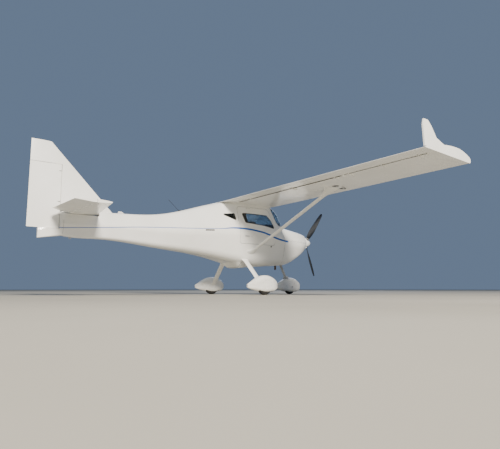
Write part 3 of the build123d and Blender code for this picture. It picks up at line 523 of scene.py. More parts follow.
# A round rod along some points
def addRod(bm, points, radius, steps):
    def place(column, row):
        ahead = points[min(column + 1, len(points) - 1)] - points[max(column - 1, 0)]
        across = ahead.cross(Vector((0.13, 0.31, 0.94))).normalized()
        up = across.cross(ahead.normalized())
        x, y = circle(row, steps)
        return points[column] + (across * x + up * y) * radius

    bendGrid(bm, len(points) - 1, steps, place)


upward, aftward, portward = Vector((0, 0, 1)), Vector((0, 1, 0)), Vector((1, 0, 0))
sides = (("left", 1), ("right", -1))

# Wheels: ribbed tyres in place of the plain ones, wheel bolts and valves

wheelSizes = {
    # centre across, station, height; radius; width; body
    "main_tyre_left": ((0.935, 2.35, -1.07), 0.18, 0.11, "main_wheel_left"),
    "main_tyre_right": ((-0.935, 2.35, -1.07), 0.18, 0.11, "main_wheel_right"),
    "nose_tyre": ((0.0, 0.75, -1.08), 0.17, 0.10, "nose_wheel"),
}
tyre = {
    "grooves": (0.0, 0.17, 0.34), "grooveHalf": 0.0022, "grooveDepth": 0.0035, "rimRadius": 0.0823,
    "steps": 96, "boltCircle": 0.058, "bolts": 6, "valve": (0.012, 0, 0.071),
    "boltHead": [(0, 0.006), (0.0045, 0.006), (0.0055, 0.005), (0.0055, -0.001)],
    # shoulder to sidewall: share of the half width, depth under the tread's top
    "sidewall": [(0.56, 0.006), (0.72, 0.012), (0.86, 0.022), (0.95, 0.034), (0.99, 0.046), (0.965, 0.048),
                 (0.965, 0.052), (0.995, 0.055), (0.96, 0.068)],
    # bead: share of the half width, radius
    "bead": [(0.86, 0.098), (0.76, 0.094), (0.76, 0.0905), (0.64, 0.0845)], "beadFoot": 0.034,
}


# Half of the section from the tread's middle to the bead, as (radius, distance across)
def tyreSection(radius, half):
    section = []
    for share in tyre["grooves"]:
        middle, top = share * half, radius - 0.0022 * (share / 0.34) ** 2
        for sign in (-1, 1):
            if share or sign == 1:
                edge = (top, middle + sign * tyre["grooveHalf"])
                floor = (top - tyre["grooveDepth"], middle + sign * tyre["grooveHalf"] * 0.6)
                section += [edge, floor] if sign == -1 else [floor, edge]
    section += [(radius - depth, share * half) for share, depth in tyre["sidewall"]]
    section += [(out, share * half) for share, out in tyre["bead"]]
    return section + [(tyre["rimRadius"], tyre["beadFoot"]), (tyre["rimRadius"], 0.0)]


for name, (centre, radius, width, body) in wheelSizes.items():
    half = tyreSection(radius, width / 2)
    hub = at(*centre)
    bm = bmesh.new()
    turn(bm, [(out, -across) for out, across in reversed(half)][:-1] + half, hub, portward, tyre["steps"])
    piece = addPiece(name + "_ribbed", bm, vulcanisedRubber, body, 50)
    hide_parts(name)
    bm = bmesh.new()
    for index in range(tyre["bolts"]):
        offset = Vector((0, *circle(index, tyre["bolts"]))) * tyre["boltCircle"]
        for sign in (-1, 1):
            spot = hub + offset + Vector((0.008 * sign, 0, 0))
            turn(bm, tyre["boltHead"], spot, Vector((sign, 0, 0)), 6)
    valve = hub + Vector(tyre["valve"])
    addRod(bm, [valve, valve + Vector((0.012, 0, -0.004)), valve + Vector((0.026, 0, -0.006))], 0.0035, 8)
    addPiece(name.replace("tyre", "wheel") + "_bolts", bm, zincSteel, body)
print("wheels made")

# Glazing seals, doors and vents

cabinSkin = skinOf("cabin_shell", "door_left", "door_right", "door_window_left", "door_window_right",
                   "windscreen", "quarter_window_left", "quarter_window_right",
                   "cowl_upper", "cowl_lower", "rear_fuselage")
glazing = {
    # outlines as (station, height)
    "doorWindow": [(1.682, 0.178), (2.0, 0.222), (2.49, 0.257), (2.556, 0.452), (1.905, 0.455), (1.78, 0.345)],
    "quarter": [(2.7, 0.285), (2.735, 0.43), (3.02, 0.402)],
    "screenSide": [(1.335, 0.2668), (1.5, 0.275), (1.6, 0.345), (1.725, 0.59), (1.725, 0.655)],
    "screenFoot": [(-0.23, 1.302), (0.23, 1.302)],  # across, station
    "sealWidth": 0.013, "sealRise": 0.0022,
}
seal = (glazing["sealWidth"], glazing["sealRise"])
for side, sign in sides:
    bm = bmesh.new()
    layBand(bm, cabinSkin, fromSide(roundOutline(glazing["doorWindow"], 0.025), sign), *seal, closed=True)
    addPiece("door_window_seal_" + side, bm, sealRubberAndGapShade, "door_" + side)
    bm = bmesh.new()
    layBand(bm, cabinSkin, fromSide(roundOutline(glazing["quarter"], 0.015, 0.03), sign),
            seal[0] * 0.8, seal[1], closed=True)
    layBand(bm, cabinSkin, fromSide(divide(glazing["screenSide"], 0.025), sign), *seal)
    addPiece("fixed_window_seals_" + side, bm, sealRubberAndGapShade)
bm = bmesh.new()
layBand(bm, cabinSkin, fromAbove(divide(glazing["screenFoot"], 0.02)), 0.014, seal[1])
addPiece("windscreen_foot_seal", bm, sealRubberAndGapShade)

# Half sizes of the handle's plate and lever, and how far ahead of them the lock is
door = {"handle": (2.47, -0.03), "plate": (0.075, 0.026), "lever": (0.056, 0.0085), "lockAhead": 0.12}
for side, sign in sides:
    stand = standOn(*land(cabinSkin, fromSide([door["handle"]], sign)))
    long, high = door["plate"]
    bm = bmesh.new()
    addBlock(bm, (-long, -high, -0.003), (long, high, 0.0025), 0)
    upright = [edge for edge in bm.edges if abs((edge.verts[0].co - edge.verts[1].co).z) > 0.004]
    roundEdges(bm, upright, 0.02, 5)
    top = max(bm.faces, key=lambda face: face.calc_center_median().z)
    for thickness, depth in ((0.005, 0), (0.001, -0.0015)):
        bmesh.ops.inset_individual(bm, faces=[top], thickness=thickness, depth=depth)
    bmesh.ops.transform(bm, matrix=stand, verts=bm.verts)
    addPiece("door_handle_plate_" + side, bm, gelcoat, "door_" + side)
    long, high = door["lever"]
    bm = bmesh.new()
    addBlock(bm, (-long, -high, 0.004), (long * 0.75, high, 0.012), 0.0035, 3)
    turn(bm, [(0, 0.015), (0.008, 0.015), (0.011, 0.013), (0.011, 0.0)],
         Vector((long * 0.6, 0, 0)), upward, 20)
    turn(bm, [(0, 0.0035), (0.006, 0.0035), (0.0075, 0.0025), (0.0075, -0.002)],
         Vector((-door["lockAhead"], 0, 0)), upward, 16)
    bmesh.ops.transform(bm, matrix=stand, verts=bm.verts)
    addPiece("door_handle_lever_" + side, bm, turnedAluminium, "door_" + side)

vent = {"round": (1.77, -0.215), "radius": 0.02, "slot": ((3.21, 0.046), (3.40, 0.036)),
        "slotWidth": 0.026, "lip": 0.0155}
for side, sign in sides:
    spot, normal = land(cabinSkin, fromSide([vent["round"]], sign))
    radius = vent["radius"]
    bm = bmesh.new()
    turn(bm, [(radius * 0.92, -0.002), (radius * 0.95, 0.0015), (radius * 1.1, 0.003), (radius * 1.35, 0.002),
              (radius * 1.45, -0.002), (radius * 0.92, -0.002)], spot, normal, 28)
    lip = [(station, height + vent["lip"]) for station, height in vent["slot"]]
    layBand(bm, cabinSkin, fromSide(divide(lip, 0.02), sign), 0.006, 0.003)
    addPiece("vent_lips_" + side, bm, gelcoat)
    # Painted shade: a dark disc in the round vent and a dark band over the slot stand for the shade inside the
    # openings
    bm = bmesh.new()
    turn(bm, [(0, 0.0006), (radius * 0.5, 0.0006), (radius * 0.97, 0.0006), (radius * 0.97, -0.002)],
         spot, normal, 28)
    layBand(bm, cabinSkin, fromSide(divide(vent["slot"], 0.02), sign), vent["slotWidth"], 0.0012)
    addPiece("vent_hole_shade_" + side, bm, jointSealantAndHoleShade)
print("doors and glazing made")

# Nose: spinner plate and screws, inlet lips and ducts, joints and fasteners of the cowl

spinner = {"plateStation": 0.3185, "plateRadius": 0.129, "plateHole": 0.0685, "screwStation": 0.303,
           "screws": 15}
bm = bmesh.new()
turn(bm, [(spinner["plateHole"], 0), (spinner["plateRadius"], 0), (spinner["plateRadius"] + 0.001, 0.0015),
          (spinner["plateRadius"], 0.003), (spinner["plateHole"], 0.003), (spinner["plateHole"], 0)],
     at(0, spinner["plateStation"], 0), aftward, 72)
addPiece("spinner_back_plate", bm, turnedAluminium, "propeller")
bm = bmesh.new()
addScrews(bm, skinOf("spinner"), fromAround(spinner["screwStation"], 0, 0.4, spinner["screws"], 0.5), 0.005)
addPiece("spinner_screws", bm, zincSteel, "propeller")

# Ferrules where the blades leave the spinner, twisted as the blades are there
ferrule = {"angles": (41, 161, 281), "station": 0.19, "reach": (0.112, 0.148), "half": (0.045, 0.0165),
           "shift": 0.0065, "pitch": 52, "steps": 36, "sizes": (1.0, 1.0, 0.96, 0.9, 0.9)}
bm = bmesh.new()
pitch = math.radians(ferrule["pitch"])
for angle in ferrule["angles"]:
    swing = Matrix.Rotation(math.radians(-angle), 3, "Y")
    chordWay = swing @ Vector((-math.cos(pitch), -math.sin(pitch), 0))
    depthWay = swing @ Vector((math.sin(pitch), -math.cos(pitch), 0))
    outward = swing @ upward

    def ferrulePoint(column, row):
        x, y = circle(column, ferrule["steps"])
        reach = ferrule["reach"][0 if row in (0, 4) else 1] + (0.0015 if row == 2 else 0)
        size = ferrule["sizes"][row]
        return (at(0, ferrule["station"], 0) + outward * reach + chordWay * x * ferrule["half"][0] * size
                + depthWay * (y * ferrule["half"][1] * size + ferrule["shift"]))

    bendGrid(bm, ferrule["steps"], 4, ferrulePoint)
addPiece("blade_ferrules", bm, turnedAluminium, "propeller")

cowl = {
    "split": -0.04, "splitStations": (0.36, 1.29), "splitScrews": 8, "screwRadius": 0.007,
    "inlet": (0.128, -0.01), "inletHalf": (0.034, 0.062), "inletLip": 0.0045,
    "ducts": (0.337, 0.50), "ductSteps": 32, "finPitch": 0.0066,
    "outletLow": (-0.2, 0.86), "outletHigh": (0.2, 1.11), "outletLip": 0.008,
    "firewall": 1.3, "firewallHeight": -0.16, "firewallScrews": 1.283,
    "oilDoorLow": (0.1, 0.64), "oilDoorHigh": (0.24, 0.80), "oilScrews": [(0.115, 0.72), (0.225, 0.72)],
}
across, height = cowl["inlet"]
halfWidth, halfHeight = cowl["inletHalf"]
bm = bmesh.new()
for side, sign in sides:
    ellipse = []
    for index in range(40):
        x, z = circle(index, 40)
        ellipse.append((at(sign * across + x * (halfWidth + cowl["inletLip"]), 0.05,
                           height + z * (halfHeight + cowl["inletLip"])), aftward))
    layBand(bm, cabinSkin, ellipse, 0.009, 0.0045, closed=True)
corners = rectangle([value - cowl["outletLip"] for value in cowl["outletLow"]],
                    [value + cowl["outletLip"] for value in cowl["outletHigh"]])
layBand(bm, cabinSkin, fromBelow(roundOutline(corners, 0.012, 0.03)), 0.014, 0.004, closed=True)
addPiece("cowl_opening_lips", bm, gelcoat)

bm = bmesh.new()
start, end = cowl["ducts"]
ductStations = (start, start, (start + end) / 2, end, end - 0.002, start)
ductSizes = (0.995, 0.95, 0.95, 0.95, 0.995, 0.995)
for side, sign in sides:
    def ductPoint(column, row):
        x, z = circle(column, cowl["ductSteps"])
        return at(sign * across + x * halfWidth * ductSizes[row], ductStations[row],
                  height + z * halfHeight * ductSizes[row])

    bendGrid(bm, cowl["ductSteps"], 5, ductPoint)
    for share in range(-4, 5):
        fin = sign * across + share * cowl["finPitch"]
        addBlock(bm, at(fin - 0.0008, end - 0.02, height - halfHeight * 0.8),
                 at(fin + 0.0008, end - 0.004, height + halfHeight * 0.8), 0)
addPiece("inlet_ducts", bm, heatBlanket)

bm, screws = bmesh.new(), bmesh.new()
first, last = cowl["splitStations"]
stations = [first + 0.04 + index * (last - first - 0.07) / 7 for index in range(cowl["splitScrews"])]
for side, sign in sides:
    split = divide([(first, cowl["split"]), (last, cowl["split"])], 0.03)
    layBand(bm, cabinSkin, fromSide(split, sign), 0.003, 0.0006)
    for places in ([(s, cowl["split"] + 0.018) for s in stations],
                   [(s + 0.03, cowl["split"] - 0.018) for s in stations[:-1]]):
        addScrews(screws, cabinSkin, fromSide(places, sign), cowl["screwRadius"])
around = (cowl["firewallHeight"], 1.2, 72)
layBand(bm, cabinSkin, fromAround(cowl["firewall"], *around), 0.004, 0.0007, closed=True)
addScrews(screws, cabinSkin, fromAround(cowl["firewallScrews"], *around)[2::4], cowl["screwRadius"])
oilDoor = rectangle(cowl["oilDoorLow"], cowl["oilDoorHigh"])
layBand(bm, cabinSkin, fromAbove(roundOutline(oilDoor, 0.02, 0.02)), 0.0025, 0.0006, closed=True)
addScrews(screws, cabinSkin, fromAbove(cowl["oilScrews"]), 0.009)
addPiece("cowl_joints", bm, jointSealantAndHoleShade)
addPiece("cowl_fasteners", screws, zincSteel)

lining = {"gap": 0.0012, "wall": 0.0008, "inward": 0.2, "cowlHeight": -0.1}


# The inner faces of a CAD shell, those that face a line along the body, as a thin lining clear of the shell
def lineShell(pieceName, node, material, height, body="airframe"):
    bm = bmesh.new()
    bm.from_mesh(nodes[node].data)
    bmesh.ops.remove_doubles(bm, verts=bm.verts, dist=mergeDistance)
    outer = []
    for face in bm.faces:
        centre = face.calc_center_median()
        inward = Vector((-centre.x, 0, datum["axisZ"] + height - centre.z)).normalized()
        if face.normal.dot(inward) < lining["inward"]:
            outer.append(face)
    bmesh.ops.delete(bm, geom=outer, context="FACES")
    for vert in bm.verts:
        vert.normal_update()
    shifts = {vert: vert.normal.copy() for vert in bm.verts}
    for vert, shift in shifts.items():
        vert.co += shift * lining["gap"]
    bmesh.ops.solidify(bm, geom=bm.faces, thickness=-lining["wall"])
    if bm.calc_volume(signed=True) < 0:
        bmesh.ops.reverse_faces(bm, faces=bm.faces)
    addPiece(pieceName, bm, material, body)


for half in ("upper", "lower"):
    lineShell(f"cowl_{half}_lining", "cowl_" + half, heatBlanket, lining["cowlHeight"])
lineShell("cabin_lining", "cabin_shell", needleFelt, 0)
for side, sign in sides:
    lineShell("door_lining_" + side, "door_" + side, needleFelt, 0, "door_" + side)
print("nose made")

# Wings: inspection ports, filler caps, root tape, strut cuffs

wingSkin = skinOf("wing_left", "wing_right", "centre_section")
wing = {
    "ports": ((2.66, 1.94), (2.70, 2.19)), "portRadius": 0.066,
    "filler": (1.35, 2.14), "fillerRadius": 0.042,
    "root": 0.48, "rootStations": (1.712, 2.665), "tape": 0.045,
    "strutFoot": (0.470, 2.290, -0.350), "strutHead": (2.560, 2.045, 0.730),
    # half chord and half depth of a cuff, how long it is, and its flares as addCuff takes them
    "cuff": (0.056, 0.0245), "headCuff": 0.26, "headFlare": (2.1, 4.4),
    "footCuff": 0.15, "footFlare": (1.5, 2.0),
    # dark seals along the coves, laid wide so that they also paint the shade in the gap before the flap and the
    # aileron: first and last place across, station, width
    "coveSealsAndGapShade": ((0.53, 3.235, 2.668, 0.036), (3.30, 4.76, 2.679, 0.014)),
    "hingeBrackets": (3.27, 4.03, 4.74), "hingeStation": 2.655,
    "bracketLow": (-0.006, -0.04, -0.016), "bracketHigh": (0.006, 0.027, 0.004),
}


# A cuff that widens from a bar onto a skin, from start to end, where it is cast on along the bar.
# The flare is how many times the chord it ends, ahead of the bar and aft of it
def addCuff(bm, skin, start, end, chord, depth, flare, columns=40, rows=12):
    direction = (end - start).normalized()
    chordWay = (aftward - direction * direction.y).normalized()
    depthWay = direction.cross(chordWay)

    def place(column, row):
        x, y = circle(column, columns)
        share = min(row, rows - 1) / (rows - 1)
        aft = 0.5 + 0.5 * x
        size = 1 + (flare[0] + (flare[1] - flare[0]) * aft - 1) * share ** 2.2
        thick = 1 + (flare[0] - 1) * share ** 2.2
        inside = 0.97 if row == rows else 1.0
        edge = chordWay * x * chord * size + depthWay * y * depth * thick
        spot = start.lerp(end, share) + edge * inside
        if share == 1:
            hit = touch(skin, start + edge * inside, direction)[0]
            if hit is not None and (hit - spot).length < 0.25:
                spot = hit + direction * 0.001
        return spot

    bendGrid(bm, columns, rows, place)


for side, sign in sides:
    foot, head = onSide(wing["strutFoot"], sign), onSide(wing["strutHead"], sign)
    along = (head - foot).normalized()
    upper = touch(wingSkin, foot + along * 1.2, along)[0]
    lower = touch(cabinSkin, foot + along * 0.8, -along)[0]
    bm, covers = bmesh.new(), bmesh.new()
    addCuff(bm, wingSkin, upper - along * wing["headCuff"], upper, *wing["cuff"], wing["headFlare"])
    addCuff(bm, cabinSkin, lower + along * wing["footCuff"], lower, *wing["cuff"], wing["footFlare"])
    for across in wing["hingeBrackets"]:
        spot = land(wingSkin, fromBelow([(sign * across, wing["hingeStation"])]))[0]
        addBlock(bm, spot + Vector(wing["bracketLow"]), spot + Vector(wing["bracketHigh"]), 0.004)
    radius = wing["portRadius"]
    for across, station in wing["ports"]:
        spot, normal = land(wingSkin, fromBelow([(sign * across, station)]))
        turn(bm, [(radius, -0.002), (radius, 0.001), (radius * 1.03, 0.0022), (radius * 1.12, 0.0022),
                  (radius * 1.16, 0.0005), (radius * 1.16, -0.002), (radius, -0.002)], spot, normal, 40)
        turn(covers, [(0, 0.0014), (radius * 0.5, 0.0013), (radius * 0.99, 0.0008), (radius * 0.99, -0.002)],
             spot, normal, 40)
    for cast in (fromAbove, fromBelow):
        layBand(bm, wingSkin, cast(divide([(sign * wing["root"], s) for s in wing["rootStations"]], 0.03)),
                wing["tape"], 0.0008)
    addPiece("wing_fairings_" + side, bm, gelcoat)
    addPiece("wing_ports_" + side, covers, displayGlass)
    # Black seal bands under the coves: part seal, part painted shade of the gap before the flap and the aileron
    bm = bmesh.new()
    for first, last, station, width in wing["coveSealsAndGapShade"]:
        layBand(bm, wingSkin, fromBelow([(sign * first, station), (sign * last, station)]), width, 0.0012)
    addPiece("cove_seals_and_gap_shade_" + side, bm, sealRubberAndGapShade)
    bm = bmesh.new()
    spot, normal = land(wingSkin, fromAbove([(sign * wing["filler"][0], wing["filler"][1])]))
    radius = wing["fillerRadius"]
    turn(bm, [(0, 0.004), (radius * 0.5, 0.004), (radius * 0.78, 0.0038), (radius * 0.8, 0.001),
              (radius * 0.86, 0.001), (radius * 0.9, 0.003), (radius, 0.0025), (radius * 1.02, -0.002)],
         spot, normal, 36)
    addBlock(bm, spot + Vector((-0.024, -0.005, 0.002)), spot + Vector((0.024, 0.005, 0.010)))
    addPiece("fuel_filler_" + side, bm, turnedAluminium)

# Belly: a fairing under the gear legs, screws and joints of the belly panel and the tail

shellSkin = skinOf("cabin_shell", "rear_fuselage")
belly = {
    "stations": (2.18, 2.62), "halfWidth": 0.328, "low": -0.697, "ramps": (0.15, 0.2, 0.16),
    "columns": 36, "rows": 24, "fill": 0.8, "rim": 0.003, "sunk": 0.005, "joints": (2.335, 2.455),
    "panel": ((-0.17, 2.78), (0.17, 2.78), (0.13, 3.42), (-0.13, 3.42)),
}


def rampUp(gap, length):
    share = min(max(gap / length, 0), 1)
    return share * share * (3 - 2 * share)


# The fairing stands off the belly by a smooth ramp on all four sides; its later rows are its back
def bellyPoint(column, row):
    first, last = belly["stations"]
    rows = belly["rows"]
    station = first + (last - first) * column / belly["columns"]
    under = row <= rows
    across = belly["halfWidth"] * (2 * row / rows - 1 if under else 1 - 2 * (row - rows - 1) / rows)
    spot = land(shellSkin, fromBelow([(across, station)]))[0]
    if under:
        rise = rampUp(station - first, belly["ramps"][0]) * rampUp(last - station, belly["ramps"][1])
        rise *= rampUp(belly["halfWidth"] - abs(across), belly["ramps"][2])
        spot.z += (datum["axisZ"] + belly["low"] - spot.z) * rise * belly["fill"] + belly["rim"] * (1 - rise)
    else:
        spot.z += belly["sunk"]
    return spot


bm = bmesh.new()
bendGrid(bm, belly["columns"], 2 * belly["rows"] + 1, bellyPoint)
bellyPiece = addPiece("belly_fairing_shell", bm, gelcoat)
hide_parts("belly_fairing")
bellySkin = skinOf("cabin_shell", "rear_fuselage", bellyPiece)
bm, screws = bmesh.new(), bmesh.new()
layBand(bm, bellySkin, fromBelow(roundOutline(belly["panel"], 0.02, 0.03)), 0.0035, 0.0008, closed=True)
inner = [(x * 0.88, y + (0.018 if y < 3 else -0.018)) for x, y in belly["panel"]]
addScrews(screws, bellySkin, fromBelow(divide(inner, 0.11, closed=True)), 0.005)
for station in belly["joints"]:
    layBand(bm, bellySkin, fromBelow(divide([(-0.32, station), (0.32, station)], 0.02)), 0.006, 0.0008)
    places = [(-0.24 + 0.16 * index, station + 0.02) for index in range(4)]
    addScrews(screws, bellySkin, fromBelow(places), 0.0055)

# The ring of the tailcone's joint is left open on top
tail = {"joint": (6.07, -0.04), "steps": 60, "firstStep": 23, "stepsLaid": 45, "antenna": 3.80}
tailSkin = skinOf("rear_fuselage", "tailcone")
ring = fromAround(*tail["joint"], 0.6, tail["steps"], tail["firstStep"])
layBand(bm, tailSkin, ring[:tail["stepsLaid"]], 0.003, 0.0007)
addPiece("panel_joints", bm, jointSealantAndHoleShade)
addPiece("panel_screws", screws, zincSteel)

# Legs and spats
gear = {
    "legRoot": (0.380, 2.405, -0.520), "legAim": (0.901, 2.35, -1.088), "collar": (0.0655, 0.0195),
    "collarLength": 0.07, "collarFlare": (1.2, 1.35),
    # wheels: across, station, height; half sizes of the slots under the spats
    "mainWheel": (0.935, 2.35, -1.07), "noseWheel": (0.0, 0.75, -1.08), "mainSlot": (0.074, 0.189),
    "noseSlot": (0.069, 0.179), "noseScrews": [(0.67, -1.0), (0.83, -1.0), (0.93, -1.05), (0.58, -1.07)],
    # angles of the screws about a point over the wheel, on an oval of these half sizes
    "mainScrews": (0.3, 1.2, 1.94, 2.84, 3.7, 5.7), "screwOval": (0.11, 0.075),
    "screwLift": 0.03, "capLift": 0.01,
}
noseCap = {"halfWidth": 0.017, "halfHeight": 0.034, "lift": 0.010, "crown": 0.0012, "steps": 32,
           "shares": (0, 0.5, 0.85, 1, 1, 0), "sunk": {3: -0.0001, 4: 0.002, 5: 0.002}}
legSkin = skinOf("cabin_shell", bellyPiece)


# A thin crowned cap on the blunt front of a spat, its rim on the skin
def capSpat(bm, skin, node, wheelHeight):
    low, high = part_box(node)
    front = Vector(((low[0] + high[0]) / 2, low[1], datum["axisZ"] + wheelHeight + noseCap["lift"]))

    def capPoint(column, row):
        x, z = circle(column, noseCap["steps"])
        share = noseCap["shares"][row]
        spot = front + Vector((x * noseCap["halfWidth"], 0, z * noseCap["halfHeight"])) * share
        if row in (3, 4):
            spot = touch(skin, spot - Vector((0, 0.1, 0)), aftward)[0]
        spot.y += noseCap["sunk"].get(row, -noseCap["crown"] * (1 - share * share))
        return spot

    bendGrid(bm, noseCap["steps"], 5, capPoint)


# The lip of the slot under a spat
def lipSlot(bm, skin, across, station, half):
    corners = rectangle((across - half[0], station - half[1]), (across + half[0], station + half[1]))
    layBand(bm, skin, fromBelow(roundOutline(corners, 0.004, 0.025)), 0.01, 0.0025, closed=True)


for side, sign in sides:
    root, aim = onSide(gear["legRoot"], sign), onSide(gear["legAim"], sign)
    along = (root - aim).normalized()
    spot = touch(legSkin, aim, along)[0]
    bm = bmesh.new()
    addCuff(bm, legSkin, spot - along * gear["collarLength"], spot, *gear["collar"], gear["collarFlare"])
    addPiece("leg_root_fairing_" + side, bm, gelcoat)
    spatSkin = skinOf("main_spat_" + side)
    across, station, height = gear["mainWheel"]
    bm, screws = bmesh.new(), bmesh.new()
    lipSlot(bm, spatSkin, sign * across, station, gear["mainSlot"])
    spot, normal = land(spatSkin, fromSide([(station, height + gear["capLift"])], sign))
    turn(bm, [(0, 0.0025), (0.02, 0.0025), (0.024, 0.002), (0.026, -0.001)], spot, normal, 28)
    capSpat(bm, spatSkin, "main_spat_" + side, height)
    addPiece("spat_trim_" + side, bm, gelcoat)
    wide, high = gear["screwOval"]
    middle = height + gear["capLift"] + gear["screwLift"]
    places = [(station + wide * math.cos(spin), middle + high * math.sin(spin))
              for spin in gear["mainScrews"]]
    addScrews(screws, spatSkin, fromSide(places, sign), 0.0055)
    addPiece("spat_screws_" + side, screws, zincSteel)
spatSkin = skinOf("nose_spat")
across, station, height = gear["noseWheel"]
bm, screws = bmesh.new(), bmesh.new()
lipSlot(bm, spatSkin, across, station, gear["noseSlot"])
capSpat(bm, spatSkin, "nose_spat", height)
addPiece("nose_spat_trim", bm, gelcoat, "nose_steer")
for side, sign in sides:
    addScrews(screws, spatSkin, fromSide(gear["noseScrews"], sign), 0.0055)
addPiece("nose_spat_screws", screws, zincSteel, "nose_steer")

# Exhaust clamp, antenna boot
clamp = {"across": 0.165, "station": 1.05, "heights": (-0.585, -0.572)}
bm = bmesh.new()
for height in clamp["heights"]:
    turn(bm, [(0.0243, -0.004), (0.0262, -0.004), (0.0268, 0), (0.0262, 0.004), (0.0243, 0.004),
              (0.0243, -0.004)],
         at(clamp["across"], clamp["station"], height), upward, 28)
addPiece("exhaust_clamp", bm, zincSteel)
bm = bmesh.new()
turn(bm, [(0.0142, -0.004), (0.034, -0.003), (0.036, 0.002), (0.032, 0.006), (0.02, 0.009), (0.0165, 0.018),
          (0.0146, 0.02), (0.0142, -0.004)], *land(tailSkin, fromAbove([(0, tail["antenna"])])), 30)
addPiece("antenna_boot", bm, vulcanisedRubber)
print("wings, tail and gear made")

# Seats: a moulded shell, a base cushion and a back cushion with sewn channels, belts

seat = {
    "across": 0.2, "half": 0.168,
    # side outlines as (station, height)
    "shell": [(2.082, -0.4577), (2.068, -0.404), (2.458, -0.449), (2.668, 0.056), (2.69, 0.05),
              (2.50, -0.4577)],
    "base": [(2.082, -0.397), (2.072, -0.352), (2.425, -0.411), (2.437, -0.440)],
    "back": [(2.463, -0.428), (2.447, -0.398), (2.628, 0.045), (2.660, 0.038)],
    # where the channels run, as shares of the way from the second corner to the third
    "baseChannels": (0.3, 0.55, 0.8), "backChannels": (0.22, 0.42, 0.62, 0.82),
    "channelDepth": 0.006, "channelWidth": 0.009, "strap": (0.044, 0.003),
    "voxel": 0.0065, "frames": 16, "swell": 0.012, "restSwell": 0.001,
    "cloth": {"quality": 4, "mass": 0.2, "tension_stiffness": 8, "compression_stiffness": 8,
              "use_pressure": True, "uniform_pressure_force": 4.0},
}


# A side outline pushed out across the body, with rounded edges
def addSlab(bm, outline, middle, half, radius):
    verts = [bm.verts.new(at(middle - half, *point)) for point in outline]
    face = bm.faces.new(verts)
    pushed = bmesh.ops.extrude_face_region(bm, geom=[face])["geom"]
    grown = [item for item in pushed if isinstance(item, bmesh.types.BMVert)]
    bmesh.ops.translate(bm, vec=(2 * half, 0, 0), verts=grown)
    whole = verts + grown
    faces = once(face for vert in whole for face in vert.link_faces)
    bmesh.ops.recalc_face_normals(bm, faces=faces)
    roundEdges(bm, once(edge for vert in whole for edge in vert.link_edges), radius, 3)


# The mesh of an object with its modifiers on
def finalMesh(made):
    depsgraph = bpy.context.evaluated_depsgraph_get()
    return bpy.data.meshes.new_from_object(made.evaluated_get(depsgraph))


# A stuffed pad: remeshed, blown up as cloth, held where it rests, then its channels are pulled in
def stuffPad(outline, middle, half, restWay, channels):
    bm = bmesh.new()
    addSlab(bm, outline, middle, half, 0.012)
    blank = addObject("padBlank", bm)
    remesh = blank.modifiers.new("remesh", "REMESH")
    remesh.mode = "VOXEL"
    remesh.voxel_size = seat["voxel"]
    start = finalMesh(blank)
    blank.modifiers.clear()
    blank.data = start
    before = [vert.co.copy() for vert in start.vertices]
    resting = [vert.normal.dot(restWay) > 0.6 for vert in start.vertices]
    after = before
    cloth = blank.modifiers.new("cloth", "CLOTH")
    for setting, value in seat["cloth"].items():
        setattr(cloth.settings, setting, value)
    cloth.settings.effector_weights.gravity = 0
    cloth.collision_settings.use_self_collision = False
    cloth.point_cache.frame_start, cloth.point_cache.frame_end = 1, seat["frames"]
    for number in range(1, seat["frames"] + 1):
        bpy.context.scene.frame_set(number)
    blown = finalMesh(blank)
    after = [vert.co.copy() for vert in blown.vertices]
    blank.modifiers.clear()
    bpy.context.scene.frame_set(1)
    first, last = Vector(outline[1]), Vector(outline[2])
    line = (last - first).normalized()
    bm = bmesh.new()
    bm.from_mesh(start)
    bm.normal_update()
    for vert, old, new, rests in zip(bm.verts, before, after, resting):
        shift = new - old
        limit = seat["restSwell"] if rests else seat["swell"]
        if shift.length > limit:
            shift *= limit / shift.length
        if not rests:
            spot = Vector((old.y - datum["noseY"], old.z - datum["axisZ"]))
            along = (spot - first).dot(line) / (last - first).length
            for channel in channels:
                gap = (along - channel) * (last - first).length
                pull = seat["channelDepth"] * math.exp(-(gap / seat["channelWidth"]) ** 2)
                shift -= vert.normal * pull * max(0.0, -vert.normal.dot(restWay) + 0.35)
        vert.co = old + shift
    bpy.data.objects.remove(blank)
    for index in range(2):
        bmesh.ops.smooth_vert(bm, verts=bm.verts, factor=0.5, use_axis_x=True, use_axis_y=True, use_axis_z=True)
    return bm


# Rays onto the top of the base cushion, and onto the front of the back cushion
backWay = Vector((0, -0.917, 0.399))
weltProfile = [(-0.5, -0.4), (-0.45, 0.4), (-0.2, 0.9), (0.2, 0.9), (0.45, 0.4), (0.5, -0.4), (-0.5, -0.4)]
strapProfile = [(-0.5, 0.1), (-0.5, 0.8), (-0.47, 1.0), (0.47, 1.0), (0.5, 0.8), (0.5, 0.1), (-0.5, 0.1)]


def onBase(points):
    return [(at(across, station, -0.1), -upward) for across, station in points]


# Heights up the back, taken along its front face
def onBack(points):
    foot, head = Vector(seat["back"][1]), Vector(seat["back"][2])
    rays = []
    for across, share in points:
        spot = foot.lerp(head, share)
        rays.append((at(across, spot.x, spot.y) + backWay * 0.12, -backWay))
    return rays


